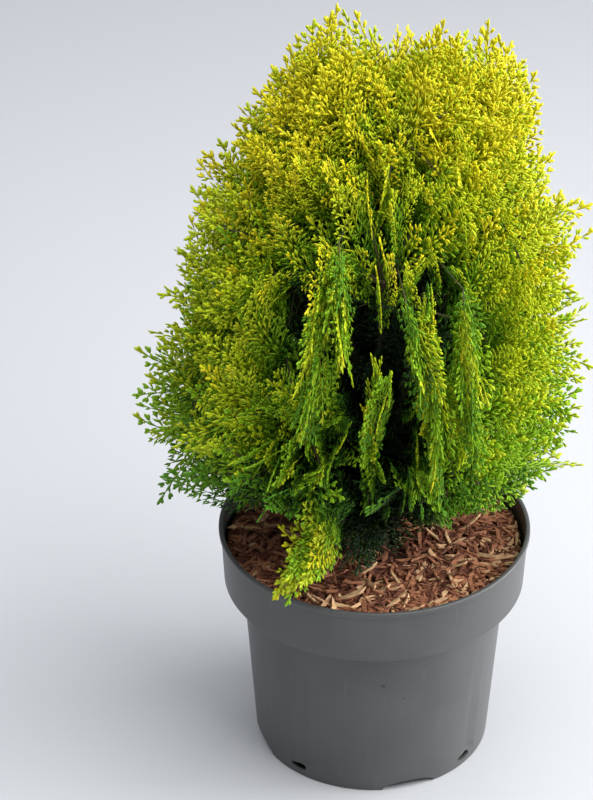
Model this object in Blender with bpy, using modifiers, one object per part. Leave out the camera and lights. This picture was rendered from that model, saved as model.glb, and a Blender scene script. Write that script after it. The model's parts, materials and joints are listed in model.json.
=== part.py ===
"""A golden thuja: a dense rounded conifer shrub, growing in a grey plastic nursery pot topped with wood chips.

The trunk stands in the potting mix and runs up through the crown. Boughs leave it all round, and each ends where it
enters a mass of foliage. A mass is one stem with twigs and flat toothed sprays of scale leaves, and a dense one has a
smaller core that they stand out of. At the front, strands hang and stand before a hollow that shows the boughs.
Metres, +Z up, with the origin at the middle of the pot's flat underside and -Y to the front.
"""

import math
import random

import bmesh
import bpy
from mathutils import Matrix, Vector

UP = Vector((0.0, 0.0, 1.0))
FRONT = math.radians(-90.0)  # the azimuth of the side that faces -Y
SHARP = math.radians(40.0)

# ---- Driving dimensions of the pot --------------------------------------------------------------------------------
POT_HEIGHT = 0.161
POT_STEPS = 32  # the fill turns in the same steps, so that its facets lie along the wall's
WALL = 0.0016
FLOOR_THICKNESS = 0.0024
FOOT_RADIUS = 0.0775
BODY_TOP_RADIUS = 0.0865
BAND_BOTTOM = 0.1215  # the height of the shoulder under the wide band
BAND_BOTTOM_RADIUS = 0.0985
BAND_TOP_RADIUS = 0.1003
LIP_RADIUS = 0.1018
LIP_HEIGHT = 0.0034
EDGE = 0.0012  # the rounding of the pot's moulded edges

NOTCHES = 4  # wide drainage arches cut up into the foot
NOTCH_AZIMUTH = FRONT + math.radians(17.5)
NOTCH_WIDTH = 0.034
NOTCH_HEIGHT = 0.0045
DRAIN_AZIMUTH = FRONT - math.radians(39.5)
DRAIN_WIDTH = 0.012
DRAIN_HEIGHT = 0.0048
DRAIN_LEVEL = 0.0072
FLOOR_HOLES = 4
FLOOR_HOLE_RADIUS = 0.0045
FLOOR_HOLE_CIRCLE = 0.042

# ---- What fills the pot -------------------------------------------------------------------------------------------
GAP = 0.0003  # between two solids that touch
SOIL_TOP = 0.1370
SOIL_CORNER_HEIGHT = 0.014  # the mix leaves the pot's lower corner open
SOIL_CORNER_INSET = 0.010
MULCH_EDGE_TOP = 0.1462
MULCH_CROWN_TOP = 0.1495
MULCH_HOLE = 0.0145  # the ring of chips stops short of the trunk
MULCH_CHIPS = 12
CHIP_LENGTH = 0.021
CHIP_WIDTH = 0.0048
CHIP_THICKNESS = 0.0022
CHIP_KEEP_OFF = 0.006  # from the hole round the trunk and from the wall
CHIP_TILT = 0.15
CHIP_SHORT_SIDE = (0.55, 0.80)  # a split chip's second side, as a share of its first

# ---- The trunk and its boughs -------------------------------------------------------------------------------------
TRUNK_FOOT = SOIL_TOP + GAP
TRUNK_TOP = 0.405
TRUNK_RADIUS = 0.0078
TRUNK_TIP_RADIUS = 0.0024
FLARE_RADIUS = 0.0135
FLARE_HEIGHT = 0.016
TRUNK_LEAN = Vector((-0.026, 0.004, 0.0))  # how far the tip stands from above the foot
TRUNK_SWAY = 0.006
TRUNK_RINGS = 12
TRUNK_SIDES = 10
BOUGH_ROOT_RADIUS = 0.0036
BOUGH_ROOT_SHARE = 0.62  # of the trunk's radius, at most
BOUGH_TIP_RADIUS = 0.0018
BOUGH_SIDES = 5
BOUGH_RINGS = 4

# ---- The crown ----------------------------------------------------------------------------------------------------
CROWN_BASE = 0.171
CROWN_TOP = 0.536
FRONT_RISE = 0.62  # the crown's underside rises this much for each metre towards the front
SIDE_RISE = 0.25  # and this much for each metre beyond SIDE_RISE_FROM to the left or right
SIDE_RISE_FROM = 0.05
STRAND_BASE = 0.164  # strands may hang lower than the crown's underside
STRAND_SPAN_FROM = 0.238  # and down there keep within the crown's reach at this height
REACH_SHARE = 1.05  # the furthest sprays stand out of the mean outline by this share
LOWEST_LIFT = math.radians(2.0)  # how steeply shoots grow at the crown's base
HIGHEST_LIFT = math.radians(80.0)  # and at its top
# Half the crown's width at each height, the shift of its middle to the right there, and its depth as a share of width.
CROWN_PROFILE = (
    (0.155, 0.085, -0.006, 0.93),
    (0.190, 0.108, -0.008, 0.93),
    (0.212, 0.124, -0.012, 0.93),
    (0.238, 0.142, -0.012, 0.91),
    (0.260, 0.141, -0.012, 0.92),
    (0.300, 0.136, -0.005, 0.92),
    (0.345, 0.131, -0.002, 0.93),
    (0.395, 0.124, 0.002, 0.93),
    (0.430, 0.101, 0.001, 0.92),
    (0.470, 0.083, 0.003, 0.88),
    (0.500, 0.074, 0.007, 0.82),
    (0.536, 0.060, 0.006, 0.80),
)
# The tips of the leading shoots. From SPIRES_FROM up, the crown is only the cones under them.
SPIRES_FROM = 0.470
SPIRE_TIP_RADIUS = 0.006
SPIRE_SPREAD = 0.85  # a cone's half width grows this much for each metre below its tip
SPIRES = (
    (-0.031, 0.000, 0.536),
    (0.041, -0.008, 0.527),
    (0.064, 0.020, 0.513),
    (0.086, -0.004, 0.510),
    (0.008, 0.026, 0.515),
    (-0.050, 0.006, 0.501),
    (-0.070, 0.004, 0.480),
    (-0.004, -0.030, 0.500),
    (0.046, -0.046, 0.490),
    (-0.044, -0.044, 0.487),
    (-0.038, 0.048, 0.492),
    (0.036, 0.056, 0.490),
)
# Each tier: name, masses, height and reach of a mass's middle, height of its boughs on the trunk, and of their tips.
TIERS = (
    ("skirt", 5, 0.222, 0.092, 0.158, 0.198),
    ("waist", 6, 0.300, 0.092, 0.188, 0.268),
    ("shoulder", 5, 0.390, 0.078, 0.236, 0.345),
)
BOUGH_SHARE = 0.50  # how far out towards the middle of its mass a bough reaches
MIDDLE_ROOM = 0.030  # a mass's middle is at least this far above the crown's underside
BOUGH_ROOM = 0.006  # and a bough's tip this far
CREST_BOUGH_SHARE = 0.62
TIP_INSET = 0.50  # a mass's stem stops this share of a spray's length short of the crown's outline
BOUGH_STAGGER = 0.0105  # neighbours leave the trunk this much higher or lower
# The crest's masses stand side by side: name, x, y and height of the middle, and the bough's height on the trunk.
CREST = (
    ("crest_right", 0.058, 0.002, 0.450, 0.300),
    ("crest_back", 0.014, 0.036, 0.446, 0.322),
    ("crest_front", 0.012, -0.028, 0.462, 0.344),
)
LEADER = ("leader", -0.040, 0.003, 0.470)
# Strands at the front: name, foot, tip, and the bough's height on the trunk.
STRANDS = (
    ("strand_left", (-0.030, -0.068, 0.400), (-0.042, -0.115, 0.334), 0.264),
    ("strand_middle", (-0.006, -0.050, 0.208), (-0.002, -0.116, 0.332), 0.179),
    ("strand_right", (0.026, -0.066, 0.374), (0.034, -0.118, 0.292), 0.214),
    ("strand_low", (-0.018, -0.046, 0.196), (-0.056, -0.094, 0.186), 0.1565),
)
STRAND_BOW = 0.026  # how far a strand bows out to the front
STRAND_LIFT = 0.030  # and how far up, before it hangs
STRAND_SITES = (0.1, 0.5, 0.9)  # a strand's space is what is nearest to these shares of its length
GREEN_BELOW = 0.26  # masses whose middle is lower are green, and the others golden
STRIDE = 0.003  # the steps in which the room along a line is measured
MARGIN = 0.0008  # how far a mass keeps from the next one's space and from every limb

# ---- Cores, twigs and sprays ----------------------------------------------------------------------------------------
CORE_SHARE = 0.70  # of the room round a mass's middle; only the dense masses have a core
CORE_DETAIL = 1
CORE_UNEVEN = 0.12
CORE_DRAWN_IN = 0.86
CORE_TRIES = 9
CORE_MARGIN = 0.0032
ROOM_LIMIT = 0.085
STEM_SIDES = 4
STEM_RINGS = 4
STRAND_RINGS = 6
STEM_TIP_RADIUS = 0.0010
TWIG_ROOT_RADIUS = 0.0012
TWIG_TIP_RADIUS = 0.0007
TWIG_SIDES = 3
TWIGS = 5
STRAND_TWIGS = 4
TWIGS_FROM = (0.35, 0.80)  # the shares of a dense mass's stem between which its twigs leave
TWIG_SPREAD = math.radians(74.0)
TWIG_REACH = 0.56  # of the room ahead of it
LONGEST_TWIG = 0.062
SHORTEST_TWIG = 0.010
TWIG_STEPS = 6  # how many stretches of a twig are tested for room
STRAND_TWIG_LENGTH = 0.020
SPRAY_LENGTH = 0.070
STRAND_SPRAY_LENGTH = 0.044
SHORTEST_SPRAY = 0.027
SPRAY_DRAWN_IN = 0.93  # a spray that does not lie free is tried again this much shorter
SPRAY_ANGLE = math.radians(36.0)
# The sprays on a twig: the turn from its heading, the share of its length where each stands, and its size.
TWIG_SPRAYS = ((0.0, 0.15, 1.0), (SPRAY_ANGLE, 0.80, 0.6))
SPRAY_THICKNESS = 0.034  # as a share of the spray's length
SPRAY_TWIST = math.radians(55.0)
SPRAY_CURL = 0.08
SUNK = 0.0018  # how far a spray's foot passes the middle of its twig
GOLDEN_ANGLE = math.radians(137.5)
# The toothed outline of a spray: the share of its length and its half width. Branchlets stand alternately on the two
# sides and point forward, and the ridge is where the blade is thickest.
LONG_SIDE = ((0.30, 0.14), (0.54, 0.42), (0.58, 0.23), (0.86, 0.34), (0.82, 0.11))
SHORT_SIDE = ((0.33, -0.16), (0.73, -0.43), (0.71, -0.15))
RIDGE_AT = 0.45

GREY_PLASTIC = ("grey_plastic", (0.105, 0.110, 0.112), 0.46)
SOIL = ("potting_soil", (0.035, 0.024, 0.017), 0.95)
CHIPS = ("wood_chips", (0.36, 0.19, 0.10), 0.85)
BARK = ("bark", (0.20, 0.11, 0.065), 0.90)
GOLD_LEAF = ("gold_leaf", (0.50, 0.55, 0.035), 0.55)
GREEN_LEAF = ("green_leaf", (0.20, 0.38, 0.030), 0.55)


def clear_scene():
    for obj in list(bpy.data.objects):
        bpy.data.objects.remove(obj)


def collection(name, hidden=False):
    made = bpy.data.collections.new(name)
    made.hide_render = hidden
    bpy.context.scene.collection.children.link(made)
    return made


def material(finish):
    name, colour, roughness = finish
    made = bpy.data.materials.get(name)
    if made:
        return made
    made = bpy.data.materials.new(name)
    made.use_nodes = True
    shader = made.node_tree.nodes["Principled BSDF"]
    shader.inputs["Base Color"].default_value = (*colour, 1.0)
    shader.inputs["Roughness"].default_value = roughness
    made.diffuse_color = (*colour, 1.0)
    return made


def add_object(name, form, group, finish=None):
    """A named object from a bmesh, shaded smooth but for its sharp edges."""
    mesh = bpy.data.meshes.new(name)
    form.to_mesh(mesh)
    form.free()
    mesh.shade_smooth()
    mesh.set_sharp_from_angle(angle=SHARP)
    made = bpy.data.objects.new(name, mesh)
    group.objects.link(made)
    if finish:
        mesh.materials.append(material(finish))
    return made


def evaluated_mesh(obj):
    bpy.context.view_layer.update()
    graph = bpy.context.evaluated_depsgraph_get()
    return bpy.data.meshes.new_from_object(obj.evaluated_get(graph), depsgraph=graph)


def apply_modifiers(obj):
    mesh = evaluated_mesh(obj)
    obj.modifiers.clear()
    obj.data = mesh


def join_with(obj, group):
    """One Boolean union of an object with a collection, applied. The collection and its objects are then removed."""
    union = obj.modifiers.new("join", "BOOLEAN")
    union.operation = "UNION"
    union.solver = "EXACT"
    union.operand_type = "COLLECTION"
    union.collection = group
    apply_modifiers(obj)
    for piece in list(group.objects):
        bpy.data.objects.remove(piece)
    bpy.data.collections.remove(group)


def cut(obj, cutter):
    difference = obj.modifiers.new("cut_" + cutter.name, "BOOLEAN")
    difference.operation = "DIFFERENCE"
    difference.solver = "EXACT"
    difference.object = cutter


def turned(name, profile, steps, group, finish=None):
    """A profile of (radius, height) turned about Z. It runs down the outer side, top to bottom."""
    bm = bmesh.new()
    points = [bm.verts.new((radius, 0.0, height)) for radius, height in profile]
    for first, second in zip(points, points[1:]):
        bm.edges.new((first, second))
    made = add_object(name, bm, group, finish)
    screw = made.modifiers.new("turn", "SCREW")
    screw.steps = steps
    screw.render_steps = steps
    screw.use_merge_vertices = True
    screw.merge_threshold = 0.0001
    return made


def around(azimuth, reach, height):
    return Vector((math.cos(azimuth) * reach, math.sin(azimuth) * reach, height))


def swept(path, radii, sides, facing=None):
    """A tapering limb: a disc at the first point, extruded ring by ring along the path. The disc may face another way."""
    directions = [(second - first).normalized() for first, second in zip(path, path[1:])]
    headings = [facing or directions[0]]
    headings += [(a + b).normalized() for a, b in zip(directions, directions[1:])]
    headings.append(directions[-1])
    bm = bmesh.new()
    foot = Matrix.Translation(path[0]) @ headings[0].to_track_quat("Z", "Y").to_matrix().to_4x4()
    bmesh.ops.create_circle(bm, cap_ends=True, segments=sides, radius=radii[0], matrix=foot)
    cap = next(iter(bm.faces))
    for i in range(1, len(path)):
        made = bmesh.ops.extrude_face_region(bm, geom=[cap, *cap.edges])["geom"]
        cap = next(part for part in made if isinstance(part, bmesh.types.BMFace))
        ring = [part for part in made if isinstance(part, bmesh.types.BMVert)]
        turn = headings[i - 1].rotation_difference(headings[i]).to_matrix().to_4x4()
        grow = Matrix.Scale(radii[i] / radii[i - 1], 4)
        move = Matrix.Translation(path[i]) @ turn @ grow @ Matrix.Translation(-path[i - 1])
        bmesh.ops.transform(bm, matrix=move, verts=ring)
    bmesh.ops.recalc_face_normals(bm, faces=bm.faces[:])
    return bm


def bowed_point(start, through, end, share):
    """A point of the curve that leaves the start and is drawn towards the middle point on its way to the end."""
    return start * (1 - share) ** 2 + through * 2 * share * (1 - share) + end * share * share


def bowed(start, through, end, rings):
    return [bowed_point(start, through, end, i / (rings - 1)) for i in range(rings)]


def tapered(first, last, rings):
    return [first + (last - first) * i / (rings - 1) for i in range(rings)]


# ---- The pot and what fills it ------------------------------------------------------------------------------------
def inner_radius(height):
    """The pot's inner radius below the shoulder, at a height."""
    share = height / BAND_BOTTOM
    return FOOT_RADIUS + (BODY_TOP_RADIUS - FOOT_RADIUS) * share - WALL


def pot_profile():
    shoulder_inner = BAND_BOTTOM + WALL
    inside = (
        (0.0, FLOOR_THICKNESS),
        (inner_radius(FLOOR_THICKNESS) - EDGE, FLOOR_THICKNESS),
        (inner_radius(FLOOR_THICKNESS + EDGE), FLOOR_THICKNESS + EDGE),
        (BODY_TOP_RADIUS - WALL, shoulder_inner - EDGE),
        (BODY_TOP_RADIUS - WALL + EDGE, shoulder_inner),
        (BAND_BOTTOM_RADIUS - WALL - EDGE, shoulder_inner),
        (BAND_BOTTOM_RADIUS - WALL, shoulder_inner + EDGE),
        (BAND_TOP_RADIUS - WALL, POT_HEIGHT - EDGE / 2),
        (BAND_TOP_RADIUS - WALL + EDGE / 2, POT_HEIGHT),
    )
    outside = (
        (LIP_RADIUS - EDGE / 2, POT_HEIGHT),
        (LIP_RADIUS, POT_HEIGHT - EDGE / 2),
        (LIP_RADIUS, POT_HEIGHT - LIP_HEIGHT),
        (BAND_TOP_RADIUS, POT_HEIGHT - LIP_HEIGHT - EDGE),
        (BAND_BOTTOM_RADIUS, BAND_BOTTOM + EDGE),
        (BAND_BOTTOM_RADIUS - EDGE, BAND_BOTTOM),
        (BODY_TOP_RADIUS + EDGE, BAND_BOTTOM),
        (BODY_TOP_RADIUS, BAND_BOTTOM - EDGE),
        (FOOT_RADIUS, EDGE),
        (FOOT_RADIUS - EDGE, 0.0),
        (0.0, 0.0),
    )
    return inside + outside


def wall_cutter(name, azimuth, width, height, level, group):
    """A flat-bottomed arch, made from a cylinder that lies along the radius and is squeezed to its width and height."""
    bm = bmesh.new()
    lie_down = Matrix.Rotation(math.radians(90.0), 4, "Y")
    squeeze = Matrix.Diagonal((1.0, width / 2, height / 2, 1.0))
    depth = WALL * 6
    bmesh.ops.create_cone(bm, cap_ends=True, segments=10, radius1=1, radius2=1, depth=depth, matrix=squeeze @ lie_down)
    made = add_object(name, bm, group)
    made.rotation_euler.z = azimuth
    made.location = around(azimuth, FOOT_RADIUS, level)
    return made


def build_pot(parts, cutters):
    pot = turned("pot", pot_profile(), POT_STEPS, parts, GREY_PLASTIC)
    for k in range(NOTCHES):
        turn = math.tau * k / NOTCHES
        cut(pot, wall_cutter(f"foot_notch_{k}", NOTCH_AZIMUTH + turn, NOTCH_WIDTH, NOTCH_HEIGHT * 2, 0.0, cutters))
        cut(pot, wall_cutter(f"wall_drain_{k}", DRAIN_AZIMUTH + turn, DRAIN_WIDTH, DRAIN_HEIGHT, DRAIN_LEVEL, cutters))
    for k in range(FLOOR_HOLES):
        bm = bmesh.new()
        size = FLOOR_HOLE_RADIUS
        bmesh.ops.create_cone(bm, cap_ends=True, segments=8, radius1=size, radius2=size, depth=FLOOR_THICKNESS * 4)
        hole = add_object(f"floor_drain_{k}", bm, cutters)
        hole.location = around(math.tau * (k + 0.5) / FLOOR_HOLES, FLOOR_HOLE_CIRCLE, 0.0)
        cut(pot, hole)
    return pot


def build_soil(parts):
    """The root ball and potting mix, which follow the pot's inner wall and leave its lower corner open."""
    shoulder = BAND_BOTTOM + WALL
    profile = (
        (0.0, SOIL_TOP),
        (BAND_BOTTOM_RADIUS - WALL - GAP, SOIL_TOP),
        (BAND_BOTTOM_RADIUS - WALL - GAP, shoulder + EDGE + GAP),
        (BAND_BOTTOM_RADIUS - WALL - EDGE - GAP, shoulder + GAP),
        (BODY_TOP_RADIUS - WALL - GAP, shoulder + GAP),
        (inner_radius(SOIL_CORNER_HEIGHT) - GAP, SOIL_CORNER_HEIGHT),
        (inner_radius(0.0) - SOIL_CORNER_INSET, FLOOR_THICKNESS + GAP),
        (0.0, FLOOR_THICKNESS + GAP),
    )
    return turned("potting_soil", profile, POT_STEPS, parts, SOIL)


def mulch_height(reach):
    """The chips lie a little higher round the trunk than at the wall."""
    share = reach / BAND_BOTTOM_RADIUS
    return MULCH_CROWN_TOP + (MULCH_EDGE_TOP - MULCH_CROWN_TOP) * share * share


def build_mulch(parts):
    """A ring of wood chips on the potting mix, with its larger chips as splinters bedded in the top."""
    rim = BAND_BOTTOM_RADIUS - WALL - GAP
    tops = [MULCH_HOLE + (rim - MULCH_HOLE) * i / 4 for i in range(5)]
    bottom = SOIL_TOP + GAP
    profile = [(MULCH_HOLE, bottom)] + [(reach, mulch_height(reach)) for reach in tops] + [(rim, bottom)]
    mulch = turned("wood_chip_mulch", [*profile, profile[0]], POT_STEPS, parts, CHIPS)
    apply_modifiers(mulch)
    bm = bmesh.new()
    bm.from_mesh(mulch.data)
    bmesh.ops.remove_doubles(bm, verts=bm.verts[:], dist=0.0001)
    bm.to_mesh(mulch.data)
    bm.free()
    rng = random.Random(11)
    loose = collection("chips")
    nearest = MULCH_HOLE + CHIP_KEEP_OFF
    furthest = rim - CHIP_LENGTH / 2 - CHIP_KEEP_OFF / 2
    for k in range(MULCH_CHIPS):
        reach = nearest + (furthest - nearest) * math.sqrt((k + 0.5) / MULCH_CHIPS)
        length = CHIP_LENGTH * rng.uniform(0.6, 1.0)
        size = Matrix.Diagonal((length, CHIP_WIDTH * rng.uniform(0.7, 1.2), CHIP_THICKNESS, 1.0))
        chip = bmesh.new()
        bmesh.ops.create_cube(chip, size=1.0, matrix=size)
        split_ends(chip, rng)
        made = add_object(f"chip_{k}", chip, loose)
        made.location = around(k * GOLDEN_ANGLE, reach, mulch_height(reach) + CHIP_THICKNESS * 0.25)
        tilts = [rng.uniform(-CHIP_TILT, CHIP_TILT) for _ in range(2)]
        made.rotation_euler = (*tilts, rng.uniform(0.0, math.tau))
    join_with(mulch, loose)
    return mulch


def split_ends(chip, rng):
    """Shortens one side of the chip by an uneven amount, so that it looks split and not sawn."""
    for vert in chip.verts:
        if vert.co.y > 0:
            vert.co.x *= rng.uniform(*CHIP_SHORT_SIDE)


# ---- The trunk and the boughs -------------------------------------------------------------------------------------
def trunk_point(height):
    share = (height - TRUNK_FOOT) / (TRUNK_TOP - TRUNK_FOOT)
    sway = math.sin(share * math.tau * 0.9) * TRUNK_SWAY
    return Vector((0, 0, height)) + TRUNK_LEAN * share**1.6 + Vector((sway, -sway * 0.5, 0))


def trunk_radius(height):
    above = height - TRUNK_FOOT
    share = above / (TRUNK_TOP - TRUNK_FOOT)
    flare = (FLARE_RADIUS - TRUNK_RADIUS) * math.exp(-above / FLARE_HEIGHT * 2.2)
    return TRUNK_RADIUS + (TRUNK_TIP_RADIUS - TRUNK_RADIUS) * share + flare


def trunk_heights():
    """Rings stand closer together in the flare."""
    return [TRUNK_FOOT + (TRUNK_TOP - TRUNK_FOOT) * (i / (TRUNK_RINGS - 1)) ** 1.5 for i in range(TRUNK_RINGS)]


def trunk_form(extra=0.0):
    heights = trunk_heights()
    path = [trunk_point(height) for height in heights]
    path[1].x, path[1].y = path[0].x, path[0].y  # the first length is upright, so the foot is cut level
    return swept(path, [trunk_radius(height) + extra for height in heights], TRUNK_SIDES)


class Limb:
    """A round limb by its middle line and radii, for keeping twigs and sprays clear of it."""

    def __init__(self, path, radii):
        self.path = path
        self.radii = radii

    def clears(self, point, margin):
        for i in range(len(self.path) - 1):
            first, second = self.path[i], self.path[i + 1]
            along = second - first
            share = min(1.0, max(0.0, (point - first).dot(along) / along.length_squared))
            radius = self.radii[i] + (self.radii[i + 1] - self.radii[i]) * share
            if (point - first - along * share).length < radius + margin:
                return False
        return True


# ---- The crown's outline and each mass's own space ------------------------------------------------------------------
def crown_at(height):
    """(half width, shift, depth share) of the crown at a height."""
    for low, high in zip(CROWN_PROFILE, CROWN_PROFILE[1:]):
        if height <= high[0]:
            share = max(0.0, (height - low[0]) / (high[0] - low[0]))
            return [a + (b - a) * share for a, b in zip(low[1:], high[1:])]
    return list(CROWN_PROFILE[-1][1:])


def crown_base(point):
    """The height of the crown's underside: it rises to the front and to both sides."""
    front = max(0.0, -point.y) * FRONT_RISE
    side = max(0.0, abs(point.x) - SIDE_RISE_FROM) * SIDE_RISE
    return CROWN_BASE + front + side


def in_spire(point):
    """Whether a point lies under the tip of one of the leading shoots."""
    if point.z < SPIRES_FROM:
        return True
    for x, y, tip in SPIRES:
        drop = tip - point.z
        if drop > 0 and math.hypot(point.x - x, point.y - y) < SPIRE_TIP_RADIUS + drop * SPIRE_SPREAD:
            return True
    return False


def in_crown(point, strand=False):
    width, shift, depth = crown_at(max(point.z, STRAND_SPAN_FROM) if strand else point.z)
    low = STRAND_BASE if strand else crown_base(point)
    inside = math.hypot((point.x - shift) / width, point.y / (width * depth)) < REACH_SHARE
    return inside and point.z > low and in_spire(point)


def outward(point):
    """The way a shoot grows at a point: out from the axis low down, and more and more upright towards the top."""
    shift = crown_at(point.z)[1]
    flat = Vector((point.x - shift, point.y, 0.0))
    flat = flat.normalized() if flat.length > GAP else Vector((1.0, 0.0, 0.0))
    share = min(1.0, max(0.0, (point.z - CROWN_BASE) / (CROWN_TOP - CROWN_BASE)))
    lift = LOWEST_LIFT + (HIGHEST_LIFT - LOWEST_LIFT) * share
    return flat * math.cos(lift) + UP * math.sin(lift)


class Mass:
    """A mass of foliage: where it takes over from its bough, its middle and tip, and the bough's height on the trunk."""

    def __init__(self, name, middle, start, tip, root_height, bow=None):
        self.name, self.middle, self.start, self.tip = name, middle, start, tip
        self.root_height = root_height
        self.facing = None
        self.strand = bow is not None
        self.bow = bow or middle
        self.sites = [middle]
        if self.strand:
            self.sites = [bowed_point(start, bow, tip, share) for share in STRAND_SITES]

    def owns(self, point, masses, margin=MARGIN):
        """Whether a point lies in this mass's space: nearer to its own sites than to any other's, and in the crown."""
        if not in_crown(point, self.strand):
            return False
        nearest = min(self.sites, key=lambda site: (point - site).length_squared)
        mine = (point - nearest).length_squared
        for other in masses:
            if other is not self:
                for site in other.sites:
                    if (point - site).length_squared - mine < 2 * margin * (site - nearest).length:
                        return False
        return True


def reach_of_crown(start, direction):
    """How far a straight line from a point inside the crown runs before it leaves it."""
    length = 0.0
    while in_crown(start + direction * (length + STRIDE)):
        length += STRIDE
    return length


def tier_azimuth(name, count, k):
    """Only the shoulder has a mass at the very front. In the tiers below it the front is between two masses."""
    return FRONT + math.tau * (k + (0.0 if name == "shoulder" else 0.5)) / count


def lay_out_masses():
    masses = []
    for name, count, height, reach, root, bough_tip in TIERS:
        for k in range(count):
            azimuth = tier_azimuth(name, count, k)
            shift = Vector((crown_at(height)[1], 0, 0))
            middle = around(azimuth, reach, height) + shift
            middle.z = max(middle.z, crown_base(middle) + MIDDLE_ROOM)
            start = around(azimuth, reach * BOUGH_SHARE, bough_tip) + shift * BOUGH_SHARE
            start.z = max(start.z, crown_base(start) + BOUGH_ROOM)
            root_height = root + BOUGH_STAGGER * (k % 3)
            heading = (middle - start).normalized().lerp(outward(middle), 0.5).normalized()
            tip = middle + heading * max(0.0, reach_of_crown(middle, heading) - SPRAY_LENGTH * TIP_INSET)
            masses.append(Mass(f"{name}_{k + 1}", middle, start, tip, root_height))
    for name, x, y, height, root in CREST:
        middle = Vector((x, y, height))
        foot = trunk_point(root)
        start = foot.lerp(middle, CREST_BOUGH_SHARE)
        heading = outward(middle)
        tip = middle + heading * max(0.0, reach_of_crown(middle, heading) - SPRAY_LENGTH * TIP_INSET)
        masses.append(Mass(name, middle, start, tip, root))
    for name, foot, tip, root in STRANDS:
        start, tip = Vector(foot), Vector(tip)
        bow = start.lerp(tip, 0.3) + Vector((0, -STRAND_BOW, STRAND_LIFT))
        masses.append(Mass(name, start.lerp(tip, 0.5), start, tip, root, bow=bow))
    name, x, y, height = LEADER
    middle = Vector((x, y, height))
    last, top = [trunk_point(height) for height in trunk_heights()[-2:]]
    heading = (top - last).normalized()
    tip = Vector((x + 0.006, y, CROWN_TOP - SPRAY_LENGTH * 0.75))
    masses.append(Mass(name, middle, top + heading * GAP, tip, None))
    masses[-1].facing = heading
    return masses


def bough_path(mass):
    """From inside the trunk, first steeply out and then bending up to the mass."""
    foot = trunk_point(mass.root_height)
    rise = mass.start - foot
    flat = Vector((rise.x, rise.y, 0.0))
    through = foot + flat * 0.55 + UP * rise.z * 0.35
    return bowed(foot, through, mass.start, BOUGH_RINGS)


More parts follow.
